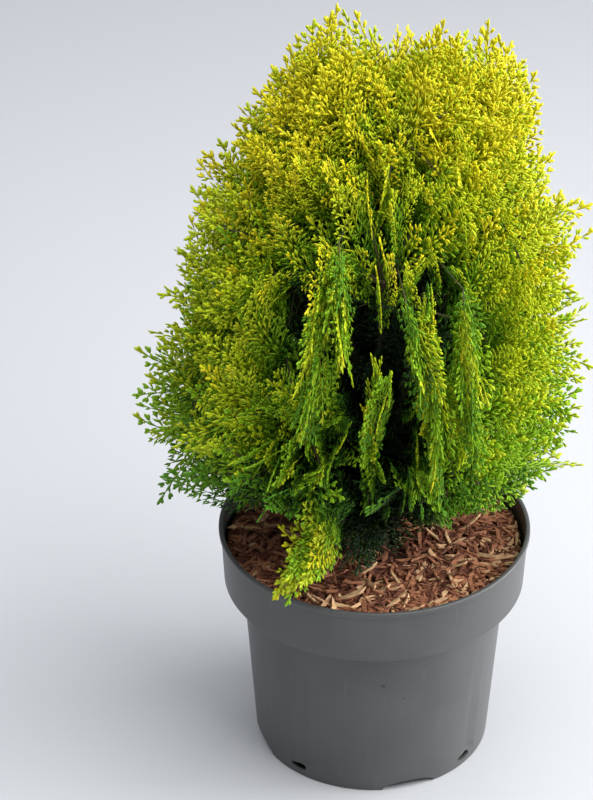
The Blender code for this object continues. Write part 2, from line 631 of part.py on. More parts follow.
# ---- Growing a mass -------------------------------------------------------------------------------------------------
class Grower:
    """Grows one mass inside its own space, by a rule with a seed of its own."""

    def __init__(self, mass, masses, limbs, seed):
        self.mass, self.masses = mass, masses
        self.limbs = [limb for limb in limbs if not limb.clears(mass.middle, ROOM_LIMIT * 1.5)]
        self.rng = random.Random(seed)
        self.stem = bowed(mass.start, mass.bow, mass.tip, STRAND_RINGS if mass.strand else STEM_RINGS)
        self.twigs = []
        self.sprays = []

    def free(self, point, margin=MARGIN):
        return self.mass.owns(point, self.masses, margin) and all(limb.clears(point, margin) for limb in self.limbs)

    def room(self, start, direction, limit):
        """How far a straight line may run from a point before it leaves the space or meets a limb."""
        length = 0.0
        while length < limit and self.free(start + direction * (length + STRIDE), CORE_MARGIN):
            length += STRIDE
        return length

    def core(self):
        """A smaller copy of the mass's own space, which the sprays stand out of, drawn in where a limb passes."""
        bm = bmesh.new()
        bmesh.ops.create_icosphere(bm, subdivisions=CORE_DETAIL, radius=1.0)
        middle = self.core_middle()
        for vert in bm.verts:
            reach = self.room(middle, vert.co.normalized(), ROOM_LIMIT) * CORE_SHARE
            vert.co *= max(reach, 0.004) * self.rng.uniform(1 - CORE_UNEVEN, 1 + CORE_UNEVEN)
        for _ in range(CORE_TRIES):
            for face in bm.faces:
                if not self.wedge_is_free(middle, face):
                    for vert in face.verts:
                        vert.co *= CORE_DRAWN_IN
        bmesh.ops.translate(bm, vec=middle, verts=bm.verts[:])
        return bm

    def wedge_is_free(self, middle, face):
        """Whether no limb passes between the core's middle and one of its faces."""
        a, b, c = (vert.co for vert in face.verts)
        for spot in (a, b, c, (a + b) / 2, (b + c) / 2, (c + a) / 2, (a + b + c) / 3):
            for depth in (0.3, 0.5, 0.7, 0.85, 1.0):
                if not all(limb.clears(middle + spot * depth, CORE_MARGIN) for limb in self.limbs):
                    return False
        return True

    def core_middle(self):
        return self.along(self.stem, 0.55)[0]

    def grow(self):
        if self.mass.strand:
            self.grow_strand()
        else:
            self.grow_clump()
        end, heading = self.along(self.stem, 1.0)
        self.add_spray(end, heading, self.spray_normal(heading), self.spray_length())

    def grow_clump(self):
        """Twigs leave the stem inside the core, on a spiral round the way that the mass faces."""
        facing = outward(self.mass.middle)
        across = facing.orthogonal().normalized()
        for k in range(TWIGS):
            tilt = TWIG_SPREAD * math.sqrt((k + 0.7) / TWIGS)
            side = Matrix.Rotation(k * GOLDEN_ANGLE, 3, facing) @ across
            direction = facing * math.cos(tilt) + side * math.sin(tilt)
            start = self.along(self.stem, self.rng.uniform(*TWIGS_FROM))[0]
            length = min(self.room(start, direction, 0.12) * TWIG_REACH, LONGEST_TWIG)
            self.grow_twig(start, direction, length, k)

    def grow_strand(self):
        """Short twigs stand by turns on the two sides of a stem that hangs or creeps."""
        for k in range(STRAND_TWIGS):
            start, heading = self.along(self.stem, 0.15 + 0.75 * k / (STRAND_TWIGS - 1))
            side = heading.cross(Vector((0.0, -1.0, 0.0))).normalized() * (1 if k % 2 else -1)
            angle = SPRAY_ANGLE * self.rng.uniform(0.8, 1.2)
            direction = heading * math.cos(angle) + side * math.sin(angle)
            length = min(self.room(start, direction, 0.06) * TWIG_REACH, STRAND_TWIG_LENGTH)
            self.grow_twig(start, direction, length, k)

    def spray_length(self):
        longest = STRAND_SPRAY_LENGTH if self.mass.strand else SPRAY_LENGTH
        return longest * self.rng.uniform(0.88, 1.12)

    @staticmethod
    def along(path, share):
        """The point and heading at a share of a path's length."""
        place = share * (len(path) - 1)
        i = min(int(place), len(path) - 2)
        heading = path[i + 1] - path[i]
        return path[i] + heading * (place - i), heading.normalized()

    def spray_normal(self, heading):
        """Across a plane that holds the heading and mostly faces out of the crown."""
        facing = Vector((0.0, -1.0, 0.0)) if self.mass.strand else outward(self.mass.middle)
        normal = facing - heading * facing.dot(heading)
        if normal.length < 0.4:
            normal = heading.cross(UP) + normal
        return Matrix.Rotation(self.rng.uniform(-1, 1) * SPRAY_TWIST, 3, heading) @ normal.normalized()

    def grow_twig(self, start, direction, length, k):
        """A twig that bends the way the crown grows, with one spray along it and one that leans out near its end."""
        if length < SHORTEST_TWIG:
            return
        drawn = outward(start) if not self.mass.strand else direction
        bend = direction.lerp(drawn, 0.35).normalized()
        middle = start + direction * length * 0.5
        end = middle + bend * length * 0.5
        steps = [share / TWIG_STEPS for share in range(TWIG_STEPS + 1)]
        if not all(self.free(self.along([start, middle, end], step)[0], MARGIN + TWIG_ROOT_RADIUS) for step in steps):
            return
        self.twigs.append([start, middle, end])
        for turn, share, size in TWIG_SPRAYS:
            place, ahead = self.along([start, middle, end], share)
            normal = self.spray_normal(ahead)
            leaning = Matrix.Rotation(turn if k % 2 else -turn, 3, normal) @ ahead
            self.add_spray(place, leaning, normal, self.spray_length() * size)

    def add_spray(self, place, direction, normal, length):
        """Fits a spray at a place: it is made shorter until it lies free, or left out."""
        direction = direction.normalized()
        flip = self.rng.choice((-1, 1))
        while length > SHORTEST_SPRAY:
            frame = spray_frame(place - direction * SUNK, direction, normal)
            outline = [frame @ point for point in spray_outline(length, flip)]
            if all(self.free(point) for point in outline[1:]) and self.ridge_is_free(frame, length):
                self.sprays.append((frame, length, flip))
                return
            length *= SPRAY_DRAWN_IN

    def ridge_is_free(self, frame, length):
        """The blade's middle keeps off the limbs as well as its points do."""
        for step in range(1, 10):
            for side in (-1, 1):
                point = frame @ Vector((length * step / 10, side * length * 0.08, 0.0))
                if not self.free(point, MARGIN + SPRAY_THICKNESS * length / 2):
                    return False
        return True


def spray_frame(place, direction, normal):
    """Local x runs along the spray, y across it in its plane, and z across the plane."""
    across = normal.cross(direction).normalized()
    normal = direction.cross(across).normalized()
    frame = Matrix((direction, across, normal)).transposed().to_4x4()
    frame.translation = place
    return frame


def spray_outline(length, flip):
    """The toothed outline in the spray's own frame, foot first. The tip curls a little out of the plane."""
    shares = [(0.0, 0.0), *LONG_SIDE, (1.0, 0.0), *reversed(SHORT_SIDE)]
    return [Vector((u * length, v * length * flip, -SPRAY_CURL * u * u * length)) for u, v in shares]


def spray_form(frame, length, flip):
    """A thin blade: a sphere of one ring. Its equator is drawn out to the toothed outline, its poles make the ridge."""
    outline = spray_outline(length, flip)
    bm = bmesh.new()
    bmesh.ops.create_uvsphere(bm, u_segments=len(outline), v_segments=2, radius=1.0)
    equator = [vert for vert in bm.verts if abs(vert.co.z) < 0.5]
    equator.sort(key=lambda vert: math.atan2(vert.co.y, vert.co.x) * flip)
    poles = [vert for vert in bm.verts if abs(vert.co.z) > 0.5]
    for vert, point in zip(equator, outline):
        vert.co = frame @ point
    curl = -SPRAY_CURL * RIDGE_AT * RIDGE_AT * length
    for vert in poles:
        half = math.copysign(SPRAY_THICKNESS * length / 2, vert.co.z)
        vert.co = frame @ Vector((RIDGE_AT * length, 0.0, curl + half))
    bmesh.ops.recalc_face_normals(bm, faces=bm.faces[:])
    return bm


def build_mass(mass, masses, limbs, seed, parts):
    grower = Grower(mass, masses, limbs, seed)
    grower.grow()
    finish = GOLD_LEAF if mass.middle.z > GREEN_BELOW else GREEN_LEAF
    radii = tapered(BOUGH_TIP_RADIUS, STEM_TIP_RADIUS, len(grower.stem))
    made = add_object("foliage_" + mass.name, swept(grower.stem, radii, STEM_SIDES, mass.facing), parts, finish)
    pieces = collection("pieces_" + mass.name)
    if not mass.strand:
        add_object("core", grower.core(), pieces)
    for k, path in enumerate(grower.twigs):
        radii = tapered(TWIG_ROOT_RADIUS, TWIG_TIP_RADIUS, len(path))
        add_object(f"twig_{k}", swept(path, radii, TWIG_SIDES), pieces)
    for k, (frame, length, flip) in enumerate(grower.sprays):
        add_object(f"spray_{k}", spray_form(frame, length, flip), pieces)
    join_with(made, pieces)
    return made


def build_plant(parts, cutters):
    masses = lay_out_masses()
    add_object("trunk", trunk_form(), parts, BARK)
    trunk_room = add_object("trunk_room", trunk_form(GAP), cutters)
    heights = trunk_heights()
    limbs = [Limb([trunk_point(height) for height in heights], [trunk_radius(height) for height in heights])]
    for mass in masses:
        if mass.root_height is None:
            continue
        path = bough_path(mass)
        root_radius = min(BOUGH_ROOT_RADIUS, trunk_radius(mass.root_height) * BOUGH_ROOT_SHARE)
        radii = tapered(root_radius, BOUGH_TIP_RADIUS, len(path))
        bough = add_object("bough_" + mass.name, swept(path, radii, BOUGH_SIDES), parts, BARK)
        cut(bough, trunk_room)
        limbs.append(Limb(path, radii))
        mass.facing = (path[-1] - path[-2]).normalized()
        mass.start = path[-1] + mass.facing * GAP
    for seed, mass in enumerate(masses):
        build_mass(mass, masses, limbs, seed, parts)


def main():
    clear_scene()
    parts = collection("potted_thuja")
    cutters = collection("cutters", hidden=True)
    build_pot(parts, cutters)
    build_soil(parts)
    build_mulch(parts)
    build_plant(parts, cutters)
    for cutter in cutters.objects:
        cutter.hide_render = True
        cutter.display_type = "WIRE"


main()
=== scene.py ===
# %% [markdown]
# # A potted golden thuja
# A golden thuja is a dense, rounded conifer shrub that a nursery grows in a grey plastic pot. Its foliage is
# made of flat sprays: a shoot with side shoots on two sides only, each covered in scale leaves a millimetre
# or two long. Nothing on it is a broad leaf, so a good model of it is a good model of a spray, repeated many
# hundreds of times by a rule.
#
# The solids of the plant are already in the frame: pot, soil, wood chips, trunk, boughs and a mass of foliage
# on each bough. This lesson dresses them. It keeps their places, and grows everything finer from them.

# %% Load the frame
import json
import math

import bmesh
import bpy
import numpy as np
from mathutils import Matrix, Vector, noise

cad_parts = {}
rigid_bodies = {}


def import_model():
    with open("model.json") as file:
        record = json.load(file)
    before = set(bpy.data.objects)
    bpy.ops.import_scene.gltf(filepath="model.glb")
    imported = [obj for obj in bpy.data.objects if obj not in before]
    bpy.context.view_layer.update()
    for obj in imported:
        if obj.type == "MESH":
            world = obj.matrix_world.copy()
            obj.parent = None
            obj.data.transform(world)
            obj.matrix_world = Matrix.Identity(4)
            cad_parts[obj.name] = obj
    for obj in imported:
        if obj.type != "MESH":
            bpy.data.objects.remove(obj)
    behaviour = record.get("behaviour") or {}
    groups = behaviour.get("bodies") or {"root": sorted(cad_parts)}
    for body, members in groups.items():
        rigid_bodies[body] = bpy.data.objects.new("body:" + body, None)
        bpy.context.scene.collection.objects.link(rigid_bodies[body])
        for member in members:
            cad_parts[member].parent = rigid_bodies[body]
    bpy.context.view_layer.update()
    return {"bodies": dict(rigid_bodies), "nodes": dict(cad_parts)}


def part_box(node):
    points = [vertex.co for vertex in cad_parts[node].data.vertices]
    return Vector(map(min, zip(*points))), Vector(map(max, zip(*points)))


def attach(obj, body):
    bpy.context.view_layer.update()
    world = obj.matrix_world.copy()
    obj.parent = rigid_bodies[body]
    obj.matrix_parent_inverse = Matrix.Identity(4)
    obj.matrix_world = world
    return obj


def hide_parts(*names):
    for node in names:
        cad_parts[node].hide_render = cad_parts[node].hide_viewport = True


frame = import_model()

NODES = frame["nodes"]
BODY = next(iter(frame["bodies"]))
print("solids in the frame:", len(NODES), "riding on", BODY)

# %% [markdown]
# ## The camera and the light
# The camera stands in front of the plant and looks down on it from a little over a metre and a half away,
# with a long lens, so the pot's rim shows as a narrow ellipse. It looks straight along +Y, and the plant
# stands a little right of the middle because the camera stands a little left of it.
#
# One large soft lamp stands to the right and in front. A dimmer one on the same side draws the bright edge
# down the pot, and a third hangs overhead. The world fills the shadows: it is a plain room, paler on the
# right than on the left.

# %% Camera
CAMERA_PLACE = (-0.0509, -1.865, 1.449)
CAMERA_PITCH = math.radians(32.6)
SENSOR = 36.0
FOCAL_SHARE = 3466 / 800  # the focal length as a share of the sensor's width

camera_data = bpy.data.cameras.new("camera")
camera_data.sensor_width = SENSOR
camera_data.lens = SENSOR * FOCAL_SHARE
camera = bpy.data.objects.new("camera", camera_data)
camera.location = CAMERA_PLACE
camera.rotation_euler = (math.radians(90.0) - CAMERA_PITCH, 0.0, 0.0)
bpy.context.scene.collection.objects.link(camera)
bpy.context.scene.camera = camera
print("lens", round(camera_data.lens, 1), "mm")


# %% Lamps and world
MIDDLE = Vector((0.0, 0.0, 0.28))


def lamp(name, place, size, power, colour=(1.0, 1.0, 1.0)):
    """A square soft lamp that faces the middle of the plant."""
    data = bpy.data.lights.new(name, "AREA")
    data.size = size
    data.energy = power
    data.color = colour
    made = bpy.data.objects.new(name, data)
    made.location = place
    made.rotation_euler = (MIDDLE - Vector(place)).to_track_quat("-Z", "Y").to_euler()
    bpy.context.scene.collection.objects.link(made)


ROOM_LEFT = (0.15, 0.157, 0.17, 1.0)
ROOM_RIGHT = (0.46, 0.48, 0.515, 1.0)
ROOM_SIDE = 0.8  # how far a direction points to the side where the room has that colour

lamp("key_lamp", (1.25, -0.65, 1.60), 2.0, 48.0, (1.0, 0.98, 0.95))
lamp("edge_lamp", (1.3, 0.15, 0.50), 0.8, 20.0)
lamp("top_lamp", (-0.15, -0.05, 2.1), 2.0, 46.0)

world = bpy.data.worlds.new("pale_room")
world.use_nodes = True
nodes, links = world.node_tree.nodes, world.node_tree.links
sky = nodes["Background"]
sky.inputs["Strength"].default_value = 1.0
direction = nodes.new("ShaderNodeTexCoord")
split = nodes.new("ShaderNodeSeparateXYZ")
side = nodes.new("ShaderNodeMapRange")
shades = nodes.new("ShaderNodeValToRGB")
shades.color_ramp.elements[0].color = ROOM_LEFT
shades.color_ramp.elements[1].color = ROOM_RIGHT
side.inputs["From Min"].default_value = -ROOM_SIDE
side.inputs["From Max"].default_value = ROOM_SIDE
links.new(direction.outputs["Generated"], split.inputs["Vector"])
links.new(split.outputs["X"], side.inputs["Value"])
links.new(side.outputs["Result"], shades.inputs["Fac"])
links.new(shades.outputs["Color"], sky.inputs["Color"])
bpy.context.scene.world = world
bpy.context.scene.view_settings.view_transform = "Standard"

# %% [markdown]
# ## Writing shader maths as Python
# A material's pattern is arithmetic on numbers that change over the surface. In the editor that arithmetic is
# a page of Math nodes. Here a small class wraps a socket, and an expression such as `0.4 + mask * 0.1` adds
# the nodes. Colours go through a Mix node, because a Math node would turn them grey.


# %% A wrapped socket
class Wire:
    """An output socket. Arithmetic on it adds Math nodes to its material."""

    def __init__(self, finish, socket):
        self.finish = finish
        self.socket = socket

    def math(self, operation, first, second):
        return self.finish.node("ShaderNodeMath", {"operation": operation}, {0: first, 1: second})

    def __add__(self, other):
        return self.math("ADD", self, other)

    def __mul__(self, other):
        return self.math("MULTIPLY", self, other)

    __radd__ = __add__


# %% A material under construction
class Finish:
    """A material with one Principled shader, and one method that adds any other node."""

    def __init__(self, name, roughness, **constants):
        self.material = bpy.data.materials.new(name)
        self.material.use_nodes = True
        self.tree = self.material.node_tree
        self.shader = self.tree.nodes["Principled BSDF"]
        self.shader.inputs["Roughness"].default_value = roughness
        for socket, value in constants.items():
            self.shader.inputs[socket.replace("_", " ")].default_value = value

    def node(self, kind, settings=None, inputs=None, output=0):
        """Adds a node with some settings, and with values or links for its sockets. Returns one output."""
        made = self.tree.nodes.new(kind)
        for key, value in (settings or {}).items():
            if key == "stops":
                self.set_stops(made.color_ramp, value)
            else:
                setattr(made, key, value)
        for key, value in (inputs or {}).items():
            self.feed(made.inputs[key], value)
        return Wire(self, made.outputs[output])

    def set_stops(self, ramp, stops):
        """The first and last stop move, and the ones between them are added."""
        for place, colour in stops[1:-1]:
            ramp.elements.new(place).color = (*colour, 1.0)
        for end, (place, colour) in ((0, stops[0]), (-1, stops[-1])):
            ramp.elements[end].position = place
            ramp.elements[end].color = (*colour, 1.0)

    def feed(self, socket, value):
        if isinstance(value, Wire):
            self.tree.links.new(value.socket, socket)
        else:
            socket.default_value = value

    def place(self):
        """Object coordinates, in metres from the plant's foot."""
        return self.node("ShaderNodeTexCoord", output="Object")

    def noise(self, size, detail=3.0, stretch=(1.0, 1.0, 1.0)):
        """Soft cloudy numbers round 0.5. Features have a size in metres, times a stretch along each axis."""
        scale = [1.0 / (size * share) for share in stretch]
        where = self.node("ShaderNodeMapping", {}, {"Vector": self.place(), "Scale": scale})
        return self.node("ShaderNodeTexNoise", {}, {"Vector": where, "Scale": 1.0, "Detail": detail})

    def ramp(self, number, *stops):
        """A colour for a number."""
        return self.node("ShaderNodeValToRGB", {"stops": stops}, {"Fac": number})

    def mask(self, number, low, high):
        """0 under the low number, 1 over the high one."""
        settings = {"clamp": True}
        return self.node("ShaderNodeMapRange", settings, {"Value": number, "From Min": low, "From Max": high})

    def blend(self, share, first, second):
        """A colour between two others."""
        inputs = {"Factor": share, 6: first, 7: second}
        return self.node("ShaderNodeMix", {"data_type": "RGBA"}, inputs, output=2)

    def wear(self, colour, roughness=None, height=None, depth=0.001):
        """Links what changes over the surface. A height of 1 stands this many metres above one of 0."""
        self.feed(self.shader.inputs["Base Color"], colour)
        if roughness is not None:
            self.feed(self.shader.inputs["Roughness"], roughness)
        if height is not None:
            bump = self.node("ShaderNodeBump", {}, {"Height": height, "Distance": depth, "Strength": 1.0})
            self.feed(self.shader.inputs["Normal"], bump)
        return self.material


def rgb(red, green, blue):
    """A colour socket's value."""
    return (red, green, blue, 1.0)


# %% [markdown]
# ## The finishes
# The pot is injection-moulded polypropylene: a satin grey with a very fine grain, a few scuffs, and specks of
# dirt. The mulch is split wood and shredded bark, so it has three woods: red-brown bark fibre, mid-brown wood
# and pale fresh chips. The bark of a thuja peels in long thin vertical strips.


# %% Plastic
def plastic_finish():
    finish = Finish("satin_grey_plastic", 0.42)
    grain = finish.noise(0.0006, 2.0)
    cloud = finish.noise(0.045, 4.0)
    drawn = finish.noise(0.004, 3.0, stretch=(1.0, 1.0, 9.0))
    scuff = finish.mask(drawn, 0.64, 0.74)
    speck = finish.mask(finish.noise(0.0055, 1.0), 0.775, 0.80)
    clean = finish.ramp(cloud, (0.35, (0.066, 0.068, 0.068)), (0.65, (0.080, 0.082, 0.082)))
    colour = finish.blend(scuff * 0.35, clean, rgb(0.12, 0.122, 0.122))
    colour = finish.blend(speck * 0.7, colour, rgb(0.022, 0.017, 0.013))
    return finish.wear(colour, 0.37 + cloud * 0.10 + scuff * 0.10, grain, 0.00004)


PLASTIC = plastic_finish()


# %% Soil
def soil_finish():
    finish = Finish("potting_soil", 0.95)
    crumb = finish.noise(0.0035, 6.0)
    colour = finish.ramp(crumb, (0.30, (0.010, 0.007, 0.005)), (0.70, (0.060, 0.038, 0.024)))
    return finish.wear(colour, None, crumb, 0.002)


SOIL = soil_finish()


# %% Woods of the mulch
def wood_finish(name, dark, light, roughness=0.82):
    """Split wood: fibres run one way, and a coarser noise carries the change from heart to sap."""
    finish = Finish(name, roughness)
    fibre = finish.noise(0.0006, 3.0, stretch=(5.0, 1.0, 1.0))
    patch = finish.noise(0.006, 2.0)
    colour = finish.ramp(fibre * 0.55 + patch * 0.45, (0.36, dark), (0.62, light))
    return finish.wear(colour, None, fibre, 0.0003)


MULCH_BED = wood_finish("shredded_bark_bed", (0.020, 0.008, 0.005), (0.10, 0.038, 0.022), 0.95)
CHIP_FINISHES = {
    "bark_shreds": wood_finish("red_bark", (0.070, 0.022, 0.012), (0.26, 0.085, 0.042)),
    "brown_chips": wood_finish("brown_wood", (0.22, 0.080, 0.038), (0.48, 0.20, 0.095)),
    "pale_chips": wood_finish("pale_wood", (0.46, 0.24, 0.115), (0.76, 0.50, 0.27)),
}


# %% Bark
def bark_finish():
    finish = Finish("stringy_bark", 0.88)
    strips = finish.noise(0.0022, 5.0, stretch=(1.0, 1.0, 9.0))
    age = finish.noise(0.02, 2.0)
    stops = ((0.34, (0.014, 0.008, 0.005)), (0.52, (0.060, 0.030, 0.017)), (0.68, (0.14, 0.080, 0.046)))
    return finish.wear(finish.ramp(strips * 0.7 + age * 0.3, *stops), None, strips, 0.0012)


BARK = bark_finish()


# %% Green bark of the twigs
def twig_finish():
    finish = Finish("green_twig_bark", 0.8)
    patch = finish.noise(0.006, 2.0)
    return finish.wear(finish.ramp(patch, (0.40, (0.030, 0.045, 0.010)), (0.62, (0.085, 0.060, 0.020))))


TWIG_BARK = twig_finish()
print("finishes:", ", ".join(sorted(material.name for material in bpy.data.materials)))

# %% [markdown]
# ### Foliage colours
# On a golden thuja only the young tips that see the sun are golden. Behind them a shoot turns yellow-green,
# then green. Deeper in the crown, at its underside and between its tufts, the colour is darkened further to a
# deep green and a near-black: that darkening is painted shade. A colour that has a place like this is dealt
# out: there are six plain finishes, and each small shoot is put in the mesh of the finish that it needs.
# Within a finish, a very fine noise only stands for the change from scale leaf to scale leaf. The shoots are
# thin, so a part of the light goes through.

# %% Six tones of scale leaf
TONES = {
    "gold": (0.57, 0.52, 0.008),
    "yellow": (0.41, 0.50, 0.008),
    "lime": (0.215, 0.41, 0.009),
    "green": (0.080, 0.235, 0.010),
    # deep is the inner dark green, darkened further as painted shade; shade is a near-black that is painted
    # shade
    "deep": (0.023, 0.080, 0.010),
    "shade": (0.008, 0.026, 0.006),
}
TONE_STEPS = (0.80, 0.60, 0.40, 0.20, 0.0)  # a shoot's brightness at which one tone gives way to the next
GLOW = {"Subsurface_Weight": 0.35, "Subsurface_Scale": 0.002, "Subsurface_Radius": (1.0, 0.9, 0.1)}


def leaf_finish(tone, colour):
    finish = Finish(f"{tone}_scale_leaf", 0.55, Specular_IOR_Level=0.25, **GLOW)
    speck = finish.noise(0.0016, 1.0)
    darker = tuple(channel * 0.78 for channel in colour)
    lighter = tuple(min(1.0, channel * 1.18) for channel in colour)
    return finish.wear(finish.ramp(speck, (0.35, darker), (0.65, lighter)), None, speck, 0.0004)


LEAF_FINISHES = {tone: leaf_finish(tone, colour) for tone, colour in TONES.items()}
print("tones:", ", ".join(LEAF_FINISHES))


# %% [markdown]
# ## Helpers that put a piece in the scene
# Every piece rides on the one body of this plant and takes one finish. A piece that replaces some of the
# frame's solids hides them.


# %% Adding a piece
SHARP_ANGLE = math.radians(35.0)


def add_piece(mesh, finish, replaced=()):
    """Wraps a mesh with its finish in an object at the origin, hangs it on the body, and hides what it
    replaces.
    """
    mesh.materials.append(finish)
    made = bpy.data.objects.new(mesh.name, mesh)
    bpy.context.scene.collection.objects.link(made)
    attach(made, BODY)
    if replaced:
        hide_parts(*replaced)
    return made


def smoothed(mesh):
    """Smooth shading, with the sharp edges kept."""
    mesh.shade_smooth()
    mesh.set_sharp_from_angle(angle=SHARP_ANGLE)
    return mesh


def mesh_from(bm, name):
    """A mesh from a bmesh, which is freed."""
    mesh = bpy.data.meshes.new(name)
    bm.to_mesh(mesh)
    bm.free()
    return mesh


# %% [markdown]
# ## The pot
# A nursery pot is one thin moulded wall. It could be a stack of cones, but a turned profile gives the whole
# wall at once, inside and out: a narrow foot, a plain tapered body, a step out to a wide band, and a thin
# lip. The profile is spun in fine steps, and cutters take the drainage arches out of the foot.

# %% Measures of the pot
POT_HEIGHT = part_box("pot")[1].z
WALL = 0.0016
FLOOR_THICKNESS = 0.0024
FOOT_RADIUS = 0.0775
BODY_TOP_RADIUS = 0.0865
BAND_BOTTOM = 0.1215
BAND_BOTTOM_RADIUS = 0.0985
BAND_TOP_RADIUS = 0.1003
LIP_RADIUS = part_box("pot")[1].x
LIP_HEIGHT = 0.0034
EDGE = 0.0012
POT_STEPS = 144
FRONT = math.radians(-90.0)
DRAINS = 4  # of each kind of opening
ARCH_AZIMUTH = FRONT + math.radians(17.5)
ARCH_SIZE = (0.036, 0.0125)
SLOT_AZIMUTH = FRONT - math.radians(39.5)
SLOT_LEVEL = 0.0072
SLOT_SIZE = (0.012, 0.0048)
HOLE_REACH = 0.042  # of the holes in the floor
HOLE_RADIUS = 0.0045
DENT_AZIMUTH = SLOT_AZIMUTH + math.radians(3.5)
DENT_LEVEL = 0.0105
DENT_RADIUS = 0.0066
DENT_OUT = 0.0061  # its middle is this far outside the foot's radius
print("pot", round(POT_HEIGHT * 1000, 1), "mm high and", round(LIP_RADIUS * 2000, 1), "mm over the lip")


# %% Rounded profile
def rounded(corners, radius, steps=4):
    """A line through the corners, each cut back by the radius and replaced by a short curve."""
    points = [corners[0]]
    for before, corner, after in zip(corners, corners[1:], corners[2:]):
        back = (before - corner).normalized() * min(radius, (before - corner).length * 0.45)
        ahead = (after - corner).normalized() * min(radius, (after - corner).length * 0.45)
        for i in range(steps + 1):
            share = i / steps
            points.append(corner + back * (1 - share) ** 2 + ahead * share**2)
    return points + [corners[-1]]


def body_radius(height):
    """The outer radius of the tapered body."""
    return FOOT_RADIUS + (BODY_TOP_RADIUS - FOOT_RADIUS) * height / BAND_BOTTOM


def pot_profile():
    """From the middle of the floor up the inside, over the lip and down the outside to the foot's middle."""
    step_inside = BAND_BOTTOM + WALL
    inside = [
        (0.0, FLOOR_THICKNESS),
        (body_radius(0.0) - WALL, FLOOR_THICKNESS),
        (BODY_TOP_RADIUS - WALL, step_inside),
        (BAND_BOTTOM_RADIUS - WALL, step_inside),
        (BAND_TOP_RADIUS - WALL, POT_HEIGHT),
    ]
    outside = [
        (LIP_RADIUS, POT_HEIGHT),
        (LIP_RADIUS, POT_HEIGHT - LIP_HEIGHT),
        (BAND_TOP_RADIUS, POT_HEIGHT - LIP_HEIGHT - EDGE * 0.4),
        (BAND_BOTTOM_RADIUS, BAND_BOTTOM),
        (BODY_TOP_RADIUS, BAND_BOTTOM),
        (FOOT_RADIUS, 0.0),
        (0.0, 0.0),
    ]
    return rounded([Vector(point) for point in inside + outside], EDGE)


# %% Spin the wall
def spun(points, steps):
    """Turns a profile of (radius, height) once round Z."""
    bm = bmesh.new()
    ring = [bm.verts.new((radius, 0.0, height)) for radius, height in points]
    edges = [bm.edges.new(pair) for pair in zip(ring, ring[1:])]
    bmesh.ops.spin(
        bm, geom=ring + edges, cent=(0, 0, 0), axis=(0, 0, 1), angle=math.tau, steps=steps, use_merge=True
    )
    bmesh.ops.remove_doubles(bm, verts=bm.verts[:], dist=0.00002)
    bmesh.ops.recalc_face_normals(bm, faces=bm.faces[:])
    return bm


# %% Drainage arches, slots and moulded dents
def placed(azimuth, reach, level):
    """A place round the pot's axis, turned to face outwards."""
    return Matrix.Rotation(azimuth, 4, "Z") @ Matrix.Translation((reach, 0.0, level))


def cut_through(bm, azimuth, level, size):
    """Adds a cylinder that lies along the radius through the wall, squeezed to a width and a height."""
    width, height = size
    squeeze = Matrix.Diagonal((1.0, width / 2, height / 2, 1.0))
    place = placed(azimuth, FOOT_RADIUS, level) @ squeeze @ Matrix.Rotation(math.radians(90.0), 4, "Y")
    bmesh.ops.create_cone(bm, cap_ends=True, segments=32, radius1=1, radius2=1, depth=WALL * 6, matrix=place)


def dents():
    """Shallow hollows moulded round the drainage slots."""
    bm = bmesh.new()
    for k in range(DRAINS):
        place = placed(DENT_AZIMUTH + math.tau * k / DRAINS, FOOT_RADIUS + DENT_OUT, DENT_LEVEL)
        place = place @ Matrix.Diagonal((1.0, 1.9, 1.25, 1.0))
        bmesh.ops.create_uvsphere(bm, u_segments=40, v_segments=24, radius=DENT_RADIUS, matrix=place)
    return mesh_from(bm, "dents")


def openings():
    """Wide arches under the foot, small slots in the wall, and holes in the floor between them."""
    bm = bmesh.new()
    radii = {"radius1": HOLE_RADIUS, "radius2": HOLE_RADIUS}
    for k in range(DRAINS):
        turn = math.tau * k / DRAINS
        cut_through(bm, ARCH_AZIMUTH + turn, 0.0, ARCH_SIZE)
        cut_through(bm, SLOT_AZIMUTH + turn, SLOT_LEVEL, SLOT_SIZE)
        place = placed(turn + math.pi / DRAINS, HOLE_REACH, 0.0)
        bmesh.ops.create_cone(bm, cap_ends=True, segments=32, depth=0.02, matrix=place, **radii)
    return mesh_from(bm, "openings")


# %% Build the pot
def cut_away(mesh, cutters):
    """A Boolean difference of two meshes, applied."""
    target = bpy.data.objects.new(mesh.name, mesh)
    tool = bpy.data.objects.new(cutters.name, cutters)
    for obj in (target, tool):
        bpy.context.scene.collection.objects.link(obj)
    difference = target.modifiers.new("cut", "BOOLEAN")
    difference.operation = "DIFFERENCE"
    difference.object = tool
    bpy.context.view_layer.update()
    graph = bpy.context.evaluated_depsgraph_get()
    result = bpy.data.meshes.new_from_object(target.evaluated_get(graph), depsgraph=graph)
    for obj in (target, tool):
        bpy.data.objects.remove(obj)
    return result


pot_mesh = smoothed(mesh_from(spun(pot_profile(), POT_STEPS), "wall"))
for tools in (dents(), openings()):
    pot_mesh = cut_away(pot_mesh, tools)
pot_mesh.name = "nursery_pot"
add_piece(smoothed(pot_mesh), PLASTIC, ["pot"])
NODES["potting_soil"].data.materials.clear()
NODES["potting_soil"].data.materials.append(SOIL)
print("pot faces:", len(pot_mesh.polygons))

# %% [markdown]
# ## Many small things from one
# Chips, twigs and scale-leaf shoots number in the thousands. Each kind starts as one small shape, modelled
# once with bmesh. Its corners are then read as an array, and set down at every place with three axes of its
# own, so a hundred thousand faces take a moment. They end as ordinary joined meshes.


# %% A template's corners and faces
def template(bm):
    """Corners and triangles of a small closed shape."""
    bmesh.ops.triangulate(bm, faces=bm.faces[:])
    bmesh.ops.recalc_face_normals(bm, faces=bm.faces[:])
    bm.verts.ensure_lookup_table()
    bm.verts.index_update()
    corners = np.array([vert.co[:] for vert in bm.verts])
    faces = np.array([[vert.index for vert in face.verts] for face in bm.faces])
    bm.free()
    return corners, faces


